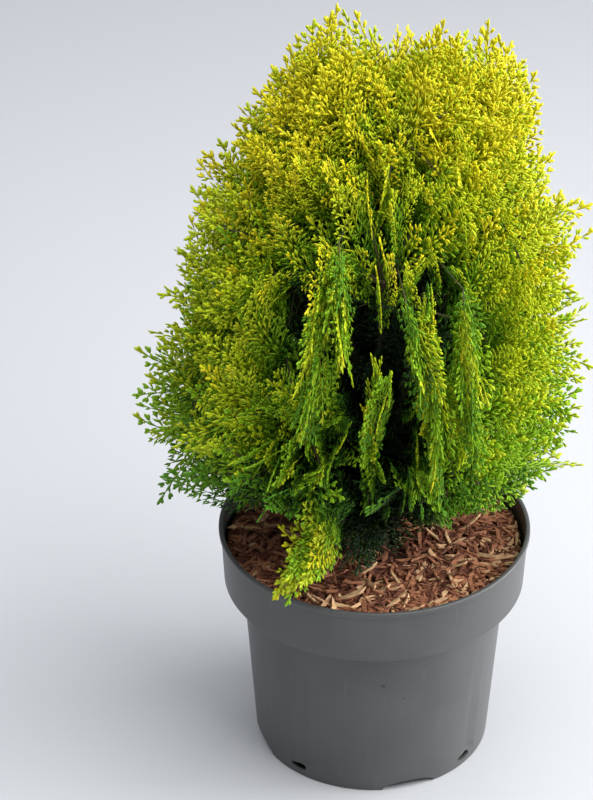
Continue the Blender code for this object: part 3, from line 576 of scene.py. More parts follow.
def set_down(shape, places, axes):
    """Copies of a template: its corners at every place, along that place's own axes, which hold its size."""
    corners, faces = shape
    spots = places[:, None, :] + np.einsum("vc,ncd->nvd", corners, axes)
    first = np.arange(len(places))[:, None, None] * len(corners)
    return spots.reshape(-1, 3), (faces[None] + first).reshape(-1, 3)


def joined_mesh(name, parts):
    """One mesh from several (corners, faces) pairs."""
    spots, faces, first = [], [], 0
    for corners, triangles in parts:
        spots.append(corners)
        faces.append(triangles + first)
        first += len(corners)
    mesh = bpy.data.meshes.new(name)
    mesh.from_pydata(np.concatenate(spots), [], np.concatenate(faces))
    return mesh


def unit(vectors):
    """Vectors of length 1."""
    return vectors / np.maximum(np.linalg.norm(vectors, axis=-1, keepdims=True), 1e-9)


# %% [markdown]
# ## The mulch
# Shredded bark and split wood lie on the potting mix, a finger's width under the lip. One lumpy surface would
# look like porridge, so the mulch is real splinters: thin boxes with uneven ends, tossed at slight tilts in a
# few layers, on a dark bed that closes the gaps. Small red-brown shreds lie everywhere, and larger pale chips
# mostly at the front right, the side where the light falls: partly the chips' own pale wood, partly painted
# light.

# %% Measures of the mulch
MULCH_EDGE_TOP = 0.1462
MULCH_CROWN_TOP = 0.1495
MULCH_HOLE = 0.0145
MULCH_RIM = BAND_BOTTOM_RADIUS - WALL - 0.0003
BED_DROP = 0.0022  # the bed lies this far under the chips' mean height
CHIP_KINDS = {  # number, length, width, thickness
    "bark_shreds": (2600, 0.0085, 0.0014, 0.0010),
    "brown_chips": (1050, 0.0115, 0.0025, 0.0013),
    "pale_chips": (430, 0.0140, 0.0030, 0.0015),
}
# the pale chips crowd to the lit side: partly the chips' own pale wood, partly painted light
PALE_AND_LIT_SIDE = np.array((0.75, -0.66))  # the side of the pot where the pale chips lie
PALE_ELSEWHERE = 0.35  # the share of them that the other side keeps


def mulch_height(reach):
    """The chips lie a little higher round the trunk than at the wall."""
    share = reach / BAND_BOTTOM_RADIUS
    return MULCH_CROWN_TOP + (MULCH_EDGE_TOP - MULCH_CROWN_TOP) * share * share


# %% The bed under the chips
def mulch_bed():
    """A turned ring, pushed up and down by noise."""
    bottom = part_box("wood_chip_mulch")[0].z
    steps = 14
    tops = [MULCH_HOLE + (MULCH_RIM - MULCH_HOLE) * i / steps for i in range(steps + 1)]
    line = [(reach, mulch_height(reach) - BED_DROP) for reach in tops]
    bm = spun([(MULCH_HOLE, bottom), *line, (MULCH_RIM, bottom), (MULCH_HOLE, bottom)], 96)
    for vert in bm.verts:
        if vert.co.z > bottom + 0.002:
            vert.co.z += noise.noise(vert.co * 160.0) * 0.0014
    return smoothed(mesh_from(bm, "mulch_bed"))


add_piece(mulch_bed(), MULCH_BED, ["wood_chip_mulch"])


# %% A splinter
def splinter(seed):
    """A unit box whose ends are pulled out of square."""
    rng = np.random.default_rng(seed)
    bm = bmesh.new()
    bmesh.ops.create_cube(bm, size=1.0)
    for vert in bm.verts:
        if vert.co.y > 0:
            vert.co.x *= rng.uniform(0.35, 0.8)
        vert.co.y *= rng.uniform(0.6, 1.0)
        vert.co.z *= rng.uniform(0.5, 1.0)
    return template(bm)


SPLINTERS = [splinter(seed) for seed in range(6)]


# %% Toss the chips
def toss(kind, count, length, width, thickness, seed):
    """Chips over the whole top, each inside the wall and clear of the trunk."""
    rng = np.random.default_rng(seed)
    lengths = length * rng.uniform(0.55, 1.7, count)
    reach = np.sqrt(rng.uniform(0.0, 1.0, count)) * (MULCH_RIM - MULCH_HOLE) + MULCH_HOLE
    around = rng.uniform(0.0, math.tau, count)
    flat = np.stack((np.cos(around), np.sin(around)), axis=1)
    if kind == "pale_chips":
        share = np.clip(flat @ PALE_AND_LIT_SIDE * reach / 0.07, 0.0, 1.0)
        keep = rng.uniform(0.0, 1.0, count) < PALE_ELSEWHERE + (1 - PALE_ELSEWHERE) * share
        lengths, reach, around, flat = lengths[keep], reach[keep], around[keep], flat[keep]
    count = len(reach)
    yaw = rng.uniform(0.0, math.tau, count)
    along = np.stack((np.cos(yaw), np.sin(yaw), rng.normal(0.0, 0.20, count)), axis=1)
    furthest = MULCH_RIM - 0.0008 - np.abs(np.sum(along[:, :2] * flat, axis=1)) * lengths / 2
    reach = np.minimum(reach, furthest)
    inside = reach > MULCH_HOLE * 0.9
    lift = rng.uniform(-0.0012, 0.0016, count) + np.abs(along[:, 2]) * lengths * 0.2
    heights = mulch_height(reach) + lift
    places = np.column_stack((flat * reach[:, None], heights))[inside]
    along = unit(along)[inside]
    up = unit(np.column_stack((rng.normal(0.0, 0.30, (count, 2)), np.ones(count))))[inside]
    across = unit(np.cross(up, along))
    up = np.cross(along, across)
    widths = width * rng.uniform(0.6, 1.4, len(along))
    sizes = (lengths[inside], widths, thickness * rng.uniform(0.6, 1.4, len(along)))
    axes = np.stack([axis * size[:, None] for axis, size in zip((along, across, up), sizes)], axis=1)
    parts = []
    for i, shape in enumerate(SPLINTERS):
        parts.append(set_down(shape, places[i :: len(SPLINTERS)], axes[i :: len(SPLINTERS)]))
    return joined_mesh(kind, parts)


for seed, (kind, (count, length, width, thickness)) in enumerate(CHIP_KINDS.items()):
    chips = add_piece(toss(kind, count, length, width, thickness, seed), CHIP_FINISHES[kind])
    print(kind, len(chips.data.polygons), "faces")

# %% [markdown]
# ## The crown's outline
# A shoot has to know three things: whether a point is inside the crown, which way shoots grow there, and how
# far it may run. The crown is a stack of ellipses, widest low down and narrow at the top. Its underside rises
# to the front and to both sides. Waves of random direction push the outline in between tufts, and the top of
# the crown is only the cones under a dozen leading shoots. Shoots grow out from the axis low down and turn
# upright towards the top.

# %% The crown as a stack of ellipses
CROWN_BASE = 0.171
CROWN_TOP = 0.536
FRONT_RISE = 0.62  # the underside rises this much for each metre towards the front
SIDE_RISE = 0.25
SIDE_RISE_FROM = 0.05
STRAND_BASE = 0.164  # strands may hang lower
STRAND_SPAN_FROM = 0.238  # and down there keep within the crown's reach at this height
LOWEST_LIFT = math.radians(2.0)
HIGHEST_LIFT = math.radians(80.0)
CROWN_PROFILE = np.array(  # height, half width, shift to the right, depth as a share of width
    (
        (0.155, 0.085, -0.006, 0.93),
        (0.190, 0.108, -0.008, 0.93),
        (0.212, 0.124, -0.012, 0.93),
        (0.238, 0.142, -0.012, 0.91),
        (0.260, 0.141, -0.012, 0.92),
        (0.300, 0.136, -0.005, 0.92),
        (0.345, 0.131, -0.002, 0.93),
        (0.395, 0.124, 0.002, 0.93),
        (0.430, 0.101, 0.001, 0.92),
        (0.470, 0.081, 0.007, 0.88),
        (0.500, 0.074, 0.010, 0.82),
        (0.536, 0.060, 0.008, 0.80),
    )
)
SPIRES_FROM = 0.460
SPIRE_TIP_RADIUS = 0.006
SPIRE_PROUD = 0.20  # spires stand this share out of the ellipses
SPIRE_BLEND = 0.04  # and reach it over this much height
SPIRE_SPREAD = 0.66  # a spire's half width grows this much for each metre below its tip
SPIRES = np.array(  # the tips of the leading shoots
    (
        (-0.031, 0.000, 0.536),
        (0.041, -0.008, 0.527),
        (0.064, 0.020, 0.513),
        (0.075, -0.004, 0.506),
        (0.008, 0.026, 0.515),
        (-0.045, 0.006, 0.494),
        (-0.060, 0.004, 0.474),
        (-0.004, -0.030, 0.500),
        (0.046, -0.046, 0.490),
        (-0.038, -0.044, 0.484),
        (-0.038, 0.048, 0.492),
        (0.036, 0.056, 0.490),
    )
)


# %% The outline and its tufts
TUFT_WAVES = 8
TUFT_SIZE = (0.040, 0.075)
TUFT_DEPTH = 0.17  # of the crown's half width
TUFT_PROUD = 1.065
TUFT_SEED = 51166  # leaves tufts low on both sides and at the front, and none at the crest's flanks


def crown_at(heights):
    """Half width, shift and depth share of the crown at some heights."""
    return [np.interp(heights, CROWN_PROFILE[:, 0], CROWN_PROFILE[:, column]) for column in (1, 2, 3)]


def crown_share(points):
    """0 on the crown's axis, 1 on its outline."""
    width, shift, depth = crown_at(points[..., 2])
    return np.hypot((points[..., 0] - shift) / width, points[..., 1] / (width * depth))


def crown_base(points):
    """The height of the crown's underside: it rises to the front and to both sides."""
    front = np.maximum(0.0, -points[..., 1]) * FRONT_RISE
    side = np.maximum(0.0, np.abs(points[..., 0]) - SIDE_RISE_FROM) * SIDE_RISE
    return CROWN_BASE + front + side


def tuft_waves():
    """Waves of random direction, length and phase."""
    rng = np.random.default_rng(TUFT_SEED)
    ways = unit(rng.normal(size=(TUFT_WAVES, 3)))
    numbers = math.tau / rng.uniform(*TUFT_SIZE, TUFT_WAVES)
    return ways * numbers[:, None], rng.uniform(0.0, math.tau, TUFT_WAVES)


WAVES, PHASES = tuft_waves()


def hollowness(points):
    """0 on a tuft of shoots that stands out of the crown, 1 between tufts."""
    return np.clip(0.5 + 0.9 * np.sin(points @ WAVES.T + PHASES).mean(axis=-1), 0.0, 1.0)


# %% Inside or outside
def in_spire(points):
    """Above a certain height the crown is only the cones under its leading shoots."""
    off = np.linalg.norm(points[..., None, :2] - SPIRES[:, :2], axis=-1)
    drop = SPIRES[:, 2] - points[..., 2, None]
    under = (drop > 0) & (off < SPIRE_TIP_RADIUS + drop * SPIRE_SPREAD)
    return (points[..., 2] < SPIRES_FROM) | under.any(axis=-1)


def in_crown(points, strand=False):
    """Whether shoots may grow at some points. A strand's may hang lower, and have no tufts."""
    low = STRAND_BASE if strand else crown_base(points)
    level = points.copy()
    level[..., 2] = np.maximum(level[..., 2], STRAND_SPAN_FROM if strand else 0.0)
    reach = TUFT_PROUD - (0.0 if strand else TUFT_DEPTH * hollowness(points))
    reach = reach + SPIRE_PROUD * np.clip((points[..., 2] - SPIRES_FROM) / SPIRE_BLEND + 0.5, 0.0, 1.0)
    return (points[..., 2] > low) & (crown_share(level) < reach) & in_spire(points)


def outward(point):
    """The way a shoot grows at a point."""
    shift = crown_at(point[2])[1]
    flat = unit(np.array((point[0] - shift, point[1], 0.0)))
    share = np.clip((point[2] - CROWN_BASE) / (CROWN_TOP - CROWN_BASE), 0.0, 1.0)
    lift = LOWEST_LIFT + (HIGHEST_LIFT - LOWEST_LIFT) * share
    return flat * math.cos(lift) + np.array((0.0, 0.0, math.sin(lift)))


print("crown half width at 300 mm:", round(float(crown_at(0.3)[0]) * 1000), "mm")

# %% [markdown]
# ## The masses and their boughs
# The crown's foliage hangs on 24 limbs. Three tiers stand round the trunk, four masses make the crest, and
# four strands stand or hang at the front, before a hollow that lets the eye in to the boughs. Their places
# are the same rule as the solids': a tier is a name, a count, a height and a reach, and the rest is worked
# out.

# %% Trunk
TRUNK_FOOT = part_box("trunk")[0].z
TRUNK_TOP = 0.405
TRUNK_RADIUS = 0.0078
TRUNK_TIP_RADIUS = 0.0024
FLARE_RADIUS = 0.0135
FLARE_HEIGHT = 0.016
TRUNK_LEAN = Vector((-0.026, 0.004, 0.0))
TRUNK_SWAY = 0.006


def trunk_point(height):
    """The trunk's middle at a height: it leans more and more to the left and sways a little."""
    share = (height - TRUNK_FOOT) / (TRUNK_TOP - TRUNK_FOOT)
    sway = math.sin(share * math.tau * 0.9) * TRUNK_SWAY
    return Vector((0, 0, height)) + TRUNK_LEAN * max(share, 0.0) ** 1.6 + Vector((sway, -sway * 0.5, 0))


def trunk_radius(height):
    """A taper, with a flare at the foot that dies away."""
    above = height - TRUNK_FOOT
    share = above / (TRUNK_TOP - TRUNK_FOOT)
    flare = (FLARE_RADIUS - TRUNK_RADIUS) * math.exp(-above / FLARE_HEIGHT * 2.2)
    return TRUNK_RADIUS + (TRUNK_TIP_RADIUS - TRUNK_RADIUS) * share + flare


# %% Tiers, crest and strands
TIERS = (  # name, masses, height and reach of a mass's middle, height of its boughs' roots and tips
    ("skirt", 5, 0.222, 0.092, 0.158, 0.198),
    ("waist", 6, 0.300, 0.092, 0.188, 0.268),
    ("shoulder", 5, 0.390, 0.078, 0.236, 0.345),
)
BOUGH_SHARE = 0.50
MIDDLE_ROOM = 0.030  # a mass's middle is at least this far above the crown's underside
BOUGH_ROOM = 0.006  # and a bough's tip this far
CREST_BOUGH_SHARE = 0.62
BOUGH_STAGGER = 0.0105
CREST = (  # name, x, y and height of the middle, height of the bough on the trunk
    ("crest_right", 0.058, 0.002, 0.450, 0.300),
    ("crest_back", 0.014, 0.036, 0.446, 0.322),
    ("crest_front", 0.012, -0.028, 0.462, 0.344),
    ("leader", -0.040, 0.003, 0.470, None),
)
STRANDS = (  # name, foot, tip, height of the bough on the trunk
    ("strand_left", (-0.030, -0.068, 0.400), (-0.042, -0.115, 0.334), 0.264),
    ("strand_middle", (-0.006, -0.050, 0.208), (-0.002, -0.116, 0.332), 0.179),
    ("strand_right", (0.026, -0.066, 0.374), (0.034, -0.118, 0.292), 0.214),
    ("strand_low", (-0.018, -0.046, 0.196), (-0.048, -0.094, 0.186), 0.1565),
)
STRAND_BOW = 0.026
STRAND_LIFT = 0.030
STRAND_SITES = (0.1, 0.5, 0.9)  # shares of its stem whose surroundings are a strand's own
SPRAY_ROOM = 0.038  # a stem stops this far inside the outline
MARCH = 0.003  # the step in which lengths inside the crown are measured


def bowed_point(start, through, end, share):
    """A point of the curve that leaves the start and is drawn to one side on its way to the end."""
    return start * (1 - share) ** 2 + through * 2 * share * (1 - share) + end * share**2


# %% A mass and its stem
class Mass:
    """A mass of foliage: its tier and middle, where its stem starts and ends, and what it bows towards."""

    def __init__(self, name, tier, middle, start, tip, root_height, bow=None):
        self.name, self.tier, self.middle, self.start, self.tip = name, tier, middle, start, tip
        self.root_height = root_height
        self.strand = bow is not None
        self.bow = bow or middle
        shares = STRAND_SITES if self.strand else ()
        self.sites = [bowed_point(start, self.bow, tip, share) for share in shares] or [middle]

    def stem_point(self, share):
        return np.array(bowed_point(self.start, self.bow, self.tip, share))

    def stem_heading(self, share):
        return unit(self.stem_point(min(share + 0.05, 1.0)) - self.stem_point(max(share - 0.05, 0.0)))


def march(start, direction, limit, free):
    """How far a straight line runs from its start while its points are free."""
    steps = np.arange(MARCH, limit, MARCH)
    clear = free(np.array(start) + steps[:, None] * np.array(direction))
    return float(steps[np.argmin(clear)]) if not clear.all() else limit


def in_ellipses(points):
    """Inside the crown, with no regard to tufts."""
    return (points[:, 2] > crown_base(points)) & (crown_share(points) < 1.0) & in_spire(points)


def stem_tip(middle, heading):
    """A stem stops short of the outline, and its sprays run on to it."""
    return middle + Vector(heading) * max(0.0, march(middle, heading, 0.25, in_ellipses) - SPRAY_ROOM)


# %% Lay out the masses
def lay_out_masses():
    """The tiers by their rule, then the crest and the strands."""
    masses = []
    for name, count, height, reach, root, bough_tip in TIERS:
        for k in range(count):
            azimuth = FRONT + math.tau * (k + (0.0 if name == "shoulder" else 0.5)) / count
            flat = Vector((math.cos(azimuth), math.sin(azimuth), 0.0))
            shift = Vector((float(crown_at(height)[1]), 0.0, 0.0))
            middle = flat * reach + shift + Vector((0.0, 0.0, height))
            middle.z = max(middle.z, float(crown_base(np.array(middle))) + MIDDLE_ROOM)
            start = (flat * reach + shift) * BOUGH_SHARE + Vector((0.0, 0.0, bough_tip))
            start.z = max(start.z, float(crown_base(np.array(start))) + BOUGH_ROOM)
            heading = (middle - start).normalized().lerp(Vector(outward(middle)), 0.5).normalized()
            tip = stem_tip(middle, heading)
            masses.append(Mass(f"{name}_{k + 1}", name, middle, start, tip, root + BOUGH_STAGGER * (k % 3)))
    for name, x, y, height, root in CREST:
        middle = Vector((x, y, height))
        foot = trunk_point(root or TRUNK_TOP)
        start = foot.lerp(middle, CREST_BOUGH_SHARE) if root else foot
        masses.append(Mass(name, "crest", middle, start, stem_tip(middle, outward(middle)), root))
    for name, foot, tip, root in STRANDS:
        start, tip = Vector(foot), Vector(tip)
        bow = start.lerp(tip, 0.3) + Vector((0.0, -STRAND_BOW, STRAND_LIFT))
        masses.append(Mass(name, "strands", start.lerp(tip, 0.5), start, tip, root, bow))
    return masses


MASSES = lay_out_masses()
SITES = np.array([site[:] for mass in MASSES for site in mass.sites])
OWNERS = np.array([k for k, mass in enumerate(MASSES) for _ in mass.sites])
print("masses:", len(MASSES))

# %% [markdown]
# ## Trunk and boughs
# A thuja's bark is thin, red-brown and stringy: it lifts in long strips that run along the limb. A limb is a
# disc extruded ring by ring along its curve. Its corners are then pushed in and out by a noise that changes
# quickly round the limb and slowly along it, which gives ridges and not dimples.

# %% A swept limb with strips of bark
BARK_RELIEF = 0.0007
STRIPS_ACROSS = 420.0  # how quickly the strips change round a limb, per metre
STRIPS_ALONG = 55.0


def swept(path, radii, sides):
    """A disc, extruded along a path of points to the given radii."""
    last = len(path) - 1
    headings = [(path[min(i + 1, last)] - path[max(i - 1, 0)]).normalized() for i in range(len(path))]
    bm = bmesh.new()
    foot = Matrix.Translation(path[0]) @ headings[0].to_track_quat("Z", "Y").to_matrix().to_4x4()
    bmesh.ops.create_circle(bm, cap_ends=True, segments=sides, radius=radii[0], matrix=foot)
    cap = next(iter(bm.faces))
    for i in range(1, len(path)):
        made = bmesh.ops.extrude_face_region(bm, geom=[cap, *cap.edges])["geom"]
        cap = next(part for part in made if isinstance(part, bmesh.types.BMFace))
        ring = [part for part in made if isinstance(part, bmesh.types.BMVert)]
        turn = headings[i - 1].rotation_difference(headings[i]).to_matrix().to_4x4()
        grow = Matrix.Scale(radii[i] / radii[i - 1], 4)
        move = Matrix.Translation(path[i]) @ turn @ grow @ Matrix.Translation(-path[i - 1])
        bmesh.ops.transform(bm, matrix=move, verts=ring)
    bmesh.ops.recalc_face_normals(bm, faces=bm.faces[:])
    return bm


def strip_bark(bm, relief):
    """Pushes the corners in and out: the noise is drawn out along Z, as the strips are."""
    bm.normal_update()
    for vert in bm.verts:
        spot = Vector((vert.co.x * STRIPS_ACROSS, vert.co.y * STRIPS_ACROSS, vert.co.z * STRIPS_ALONG))
        vert.co += vert.normal * (noise.noise(spot) * relief + noise.noise(spot * 2.3) * relief * 0.4)


def limb(name, path, radii, sides, relief=BARK_RELIEF):
    bm = swept(path, radii, sides)
    strip_bark(bm, relief)
    return smoothed(mesh_from(bm, name))


# %% The trunk
TRUNK_RINGS = 90
heights = [TRUNK_FOOT + (TRUNK_TOP - TRUNK_FOOT) * (i / (TRUNK_RINGS - 1)) for i in range(TRUNK_RINGS)]
trunk_mesh = limb("trunk_bark", [trunk_point(z) for z in heights], [trunk_radius(z) for z in heights], 28)
add_piece(trunk_mesh, BARK, ["trunk"])
print("trunk:", len(trunk_mesh.polygons), "faces")


# %% The boughs, each with the stem that runs on into its mass
BOUGH_ROOT_RADIUS = 0.0036
BOUGH_ROOT_SHARE = 0.62
BOUGH_TIP_RADIUS = 0.0018
STEM_TIP_RADIUS = 0.0009
STRAND_TIP_RADIUS = 0.0004
BOUGH_RINGS = 22
STEM_RINGS = 18


def bough_path(mass):
    """From inside the trunk, first steeply out and then bending up to the mass."""
    foot = trunk_point(mass.root_height)
    rise = mass.start - foot
    through = foot + Vector((rise.x, rise.y, 0.0)) * 0.55 + Vector((0.0, 0.0, rise.z * 0.35))
    return [bowed_point(foot, through, mass.start, i / (BOUGH_RINGS - 1)) for i in range(BOUGH_RINGS)]


def bough_with_stem(mass):
    """The bough tapers to the mass, and the stem goes on from there to a thin end."""
    path, radii = [], []
    if mass.root_height:
        root_radius = min(BOUGH_ROOT_RADIUS, trunk_radius(mass.root_height) * BOUGH_ROOT_SHARE)
        path = bough_path(mass)[:-1]
        radii = [root_radius + (BOUGH_TIP_RADIUS - root_radius) * i / BOUGH_RINGS for i in range(len(path))]
    for i in range(STEM_RINGS):
        share = i / (STEM_RINGS - 1)
        path.append(Vector(mass.stem_point(share)))
        taper = 1 - (1 - share) ** 4 if mass.strand else share  # a strand's stem thins at once
        tip_radius = STRAND_TIP_RADIUS if mass.strand else STEM_TIP_RADIUS
        radii.append(BOUGH_TIP_RADIUS + (tip_radius - BOUGH_TIP_RADIUS) * taper)
    return limb(f"bough_bark_{mass.name}", path, radii, 9, BARK_RELIEF * 0.5)


for mass in MASSES:
    add_piece(bough_with_stem(mass), BARK, [f"bough_{mass.name}"] if mass.root_height else [])
print("boughs with stems:", len(MASSES))

# %% [markdown]
# ## One spray
# A spray is a flat frond. Side shoots leave its axis by turns on the left and the right at about forty
# degrees, and carry short branchlets in the same way. They are short near the tip and reach full length a few
# centimetres behind it. So the plan of a spray is worked out backwards from its tip, and a short spray is
# only the outer end of a long one.
#
# Each branchlet is a club: thin at the foot, widest near its blunt end, and flat. The clubs near the tip are
# seen, and get two rings of corners. The ones behind and the axes are simple spindles.

# %% Club and spindle
def club():
    """A sphere of two rings of four, drawn out along X: slim at the foot and broad near the tip."""
    bm = bmesh.new()
    bmesh.ops.create_uvsphere(bm, u_segments=4, v_segments=3, radius=1.0)
    for vert in bm.verts:
        height = vert.co.z
        if abs(height) > 0.9:
            vert.co = (0.0 if height < 0 else 1.0, 0.0, 0.0)
        else:
            wide = 0.44 if height < 0 else 0.5
            flat = Vector((vert.co.x, vert.co.y)).normalized() * wide
            vert.co = (0.20 if height < 0 else 0.76, flat.x, flat.y)
    return template(bm)


def spindle():
    """A sphere of one ring of three, drawn out along X."""
    bm = bmesh.new()
    bmesh.ops.create_uvsphere(bm, u_segments=3, v_segments=2, radius=1.0)
    for vert in bm.verts:
        if abs(vert.co.z) > 0.9:
            vert.co = (0.0 if vert.co.z < 0 else 1.0, 0.0, 0.0)
        else:
            vert.co = (0.55, vert.co.x * 0.5, vert.co.y * 0.5)
    return template(bm)


CLUB = club()
SPINDLE = spindle()
print("club:", len(CLUB[1]), "faces; spindle:", len(SPINDLE[1]))

# %% The plan of a spray, from its tip backwards
SIDE_SPACING = 0.0045
SIDE_ANGLE = math.radians(38.0)
SIDE_SHARE = 0.56
FIRST_SIDE = 0.0058  # how far behind the tip side shoots start
SHORTEST_SIDE = 0.0052  # a shorter one is a single branchlet
LONGEST_SIDE = 0.0210
BARE_FOOT = 0.0018  # the foot of a side shoot has no branchlets
END_BRANCHLET = 0.0068
BRANCHLET_SPACING = 0.0037
BRANCHLET_ANGLE = math.radians(33.0)
LONGEST_BRANCHLET = 0.0094
SHORTEST_BRANCHLET = 0.0042
CLUB_WIDTH = 0.0021
FIRST_BRANCHLET = 0.0044  # how far behind a side shoot's end its branchlets start
SIDE_END_BRANCHLET = 0.0050
STALK_OVERLAP = 1.12
AXIS_OVERLAP = 1.35
AXIS_FROM = 0.0035
AXIS_STOUTER = 1.25
UNEVEN = (0.85, 1.15)
UNEVEN_WIDTH = (0.85, 1.1)
AXIS_WIDTH = 0.0019
AXIS_STEP = 0.008
PLAN_LENGTH = 0.095


def side_shoot(place, turn, length, rng):
    """A side shoot's stalk, the branchlet at its end, and others by turns from its end backwards."""
    ahead, across = math.cos(turn), math.sin(turn)
    stalk = length - SHORTEST_BRANCHLET
    rows = [(place, 0.0, turn, stalk * STALK_OVERLAP, AXIS_WIDTH, 0)]
    rows.append((place - stalk * ahead, stalk * across, turn, SIDE_END_BRANCHLET, CLUB_WIDTH, 1))
    side = 1
    reach = FIRST_BRANCHLET
    while reach < length - BARE_FOOT:
        longest = min(reach * 0.85, LONGEST_BRANCHLET)
        small = max(longest * rng.uniform(0.82, 1.15), SHORTEST_BRANCHLET)
        heading = turn + side * BRANCHLET_ANGLE * rng.uniform(*UNEVEN)
        spot = length - reach
        width = CLUB_WIDTH * rng.uniform(*UNEVEN_WIDTH)
        rows.append((place - spot * ahead, spot * across, heading, small, width, 1))
        side = -side
        reach += BRANCHLET_SPACING * rng.uniform(*UNEVEN)
    return rows


def spray_plan(seed):
    """Rows of (back from the tip, aside, heading, length, width, kind), where kind 0 is an axis."""
    rng = np.random.default_rng(seed)
    rows = []
    for step in np.arange(AXIS_FROM, PLAN_LENGTH, AXIS_STEP):
        rows.append((step + AXIS_STEP, 0.0, 0.0, AXIS_STEP * AXIS_OVERLAP, AXIS_WIDTH * AXIS_STOUTER, 0))
    rows.append((END_BRANCHLET, 0.0, 0.0, END_BRANCHLET, CLUB_WIDTH, 1))
    side = 1
    place = FIRST_SIDE
    while place < PLAN_LENGTH:
        length = min(place * SIDE_SHARE, LONGEST_SIDE) * rng.uniform(0.78, 1.12)
        turn = side * SIDE_ANGLE * rng.uniform(0.86, 1.16)
        if length < SHORTEST_SIDE:
            width = CLUB_WIDTH * rng.uniform(*UNEVEN_WIDTH)
            rows.append((place, 0.0, turn, max(length, SHORTEST_BRANCHLET), width, 1))
        else:
            rows += side_shoot(place, turn, length, rng)
        side = -side
        place += SIDE_SPACING * rng.uniform(*UNEVEN)
    return np.array(rows)


PLANS = [spray_plan(seed) for seed in range(10)]
print("branchlets and axes in a full spray:", len(PLANS[0]))

# %% [markdown]
# ## Growing the crown
# Every mass grows by the same rule. Twigs leave its stem on a spiral round the way that the mass faces. Each
# runs towards the outline, bends the way shoots grow there, and carries a spray at its end and others by
# turns along it. A spray stands in an upright plane that points out from the axis, so from any side the
# middle of the crown shows its sprays edge-on and the flanks show them flat. The room ahead decides a twig's
# length: to the outline, to a neighbour's space, or to the hollow at the front. A second layer covers what
# the twigs leave open: its sprays have their tips spread evenly over the outline.

# %% Room to grow
OVERLAP = 0.014  # neighbours' sprays mix over this depth
HOLLOW_OUTER = np.array((0.006, -0.150, 0.378))
HOLLOW_INNER = np.array((0.004, -0.022, 0.272))
HOLLOW_HALF_WIDTH = 0.030
HOLLOW_HALF_HEIGHT = 0.055


def in_hollow(points):
    """A slanted oval shaft at the front, which opens the crown from the way one looks down into it."""
    axis = HOLLOW_OUTER - HOLLOW_INNER
    share = np.clip((points - HOLLOW_INNER) @ axis / (axis @ axis), 0.0, 1.0)
    off = points - HOLLOW_INNER - share[..., None] * axis
    upright = np.hypot(off[..., 1], off[..., 2])
    return np.hypot(off[..., 0] / HOLLOW_HALF_WIDTH, upright / HOLLOW_HALF_HEIGHT) < 1.0


def room(mass, start, direction, limit=0.15):
    """How far a shoot may run before it leaves the crown or enters a neighbour or the hollow."""
    own = OWNERS == MASSES.index(mass)

    def free(points):
        gaps = np.linalg.norm(points[:, None, :] - SITES[None], axis=2)
        near = gaps[:, own].min(axis=1) - gaps[:, ~own].min(axis=1) < 2 * OVERLAP
        return in_crown(points, mass.strand) & near & (mass.strand | ~in_hollow(points))

    return march(start, direction, limit, free)


# %% A spray in space
SHEET_CUP = 0.12  # how much a spray's sheet is hollowed at most
BRANCHLET_ROLL = 0.14  # how much its branchlets are rolled out of the sheet
FOOT_FADE = 0.012  # its side shoots are short over this length at the foot


class Foliage:
    """Collects every spray's branchlets and axes, and every twig, by tier."""

    def __init__(self):
        self.rows = {}
        self.twigs = {}
        self.sprays = 0

    def add_spray(self, tier, foot, heading, normal, length, rng, value, curl, bend=0.0):
        """Maps the outer end of a plan on to a curved sheet: curl turns its tip through it, bend sideways."""
        heading = unit(heading)
        across = unit(np.cross(normal, heading))
        normal = np.cross(heading, across)
        plan = PLANS[rng.integers(len(PLANS))]
        rows = plan[plan[:, 0] < length]
        back, aside, turn, size, width, kind = rows.T
        flip = rng.choice((-1.0, 1.0))
        aside, turn = aside * flip, turn * flip
        u = length - back
        cup = rng.uniform(-SHEET_CUP, SHEET_CUP)
        fade = np.clip(u / FOOT_FADE + 0.25, 0.25, 1.0)
        aside = aside * fade
        size = np.where(kind > 0.5, size, size * fade)
        tip_u, tip_v = u + np.cos(turn) * size, aside + np.sin(turn) * size

        def sheet(along, beside):
            lift = -curl * along**2 / length + cup * beside**2 / 0.02
            slide = beside + bend * along**2 / length
            return foot + along[:, None] * heading + slide[:, None] * across + lift[:, None] * normal

        base, tip = sheet(u, aside), sheet(tip_u, tip_v)
        roll = rng.normal(0.0, BRANCHLET_ROLL, len(base))
        self.rows.setdefault(tier, []).append(
            {
                "base": base,
                "tip": tip,
                "normal": normal + roll[:, None] * across,
                "width": width,
                "club": kind > 0.5,
                "back": length - tip_u,
                "value": np.full(len(base), value),
            }
        )
        self.sprays += 1

    def add_twig(self, tier, path, radii):
        """A straight stick for each step of a path."""
        self.twigs.setdefault(tier, []).extend(zip(path, path[1:], radii))


foliage = Foliage()
UP = np.array((0.0, 0.0, 1.0))


def spray_normal(heading, point, rng, spread):
    """Level and across the way out from the axis, so that the spray stands upright, then turned at random."""
    level = np.cross(UP, unit(np.array((point[0], point[1], 0.0))))
    normal = level - heading * (level @ heading)
    if np.linalg.norm(normal) < 0.3:
        normal = np.cross(heading, UP)
    turn = Matrix.Rotation(rng.normal(0.0, spread), 3, Vector(heading))
    return np.array(turn @ Vector(unit(normal)))


# %% How bright a spray is
BRIGHT_FROM = 0.18
BRIGHT_OVER = 0.30  # brightness grows over this height
UNDERSIDE = 0.032  # the lowest shoots are shaded up to this far above the underside
LEAST_VALUE = 0.55
HEIGHT_VALUE = 0.44  # gained over that height
# painted shade: the underside and the dips between tufts are darkened in colour
UNDERSIDE_SHADE_VALUE = 0.26  # lost at the underside
DIP_SHADE_VALUE = 0.16  # lost between tufts
VALUE_SCATTER = 0.07


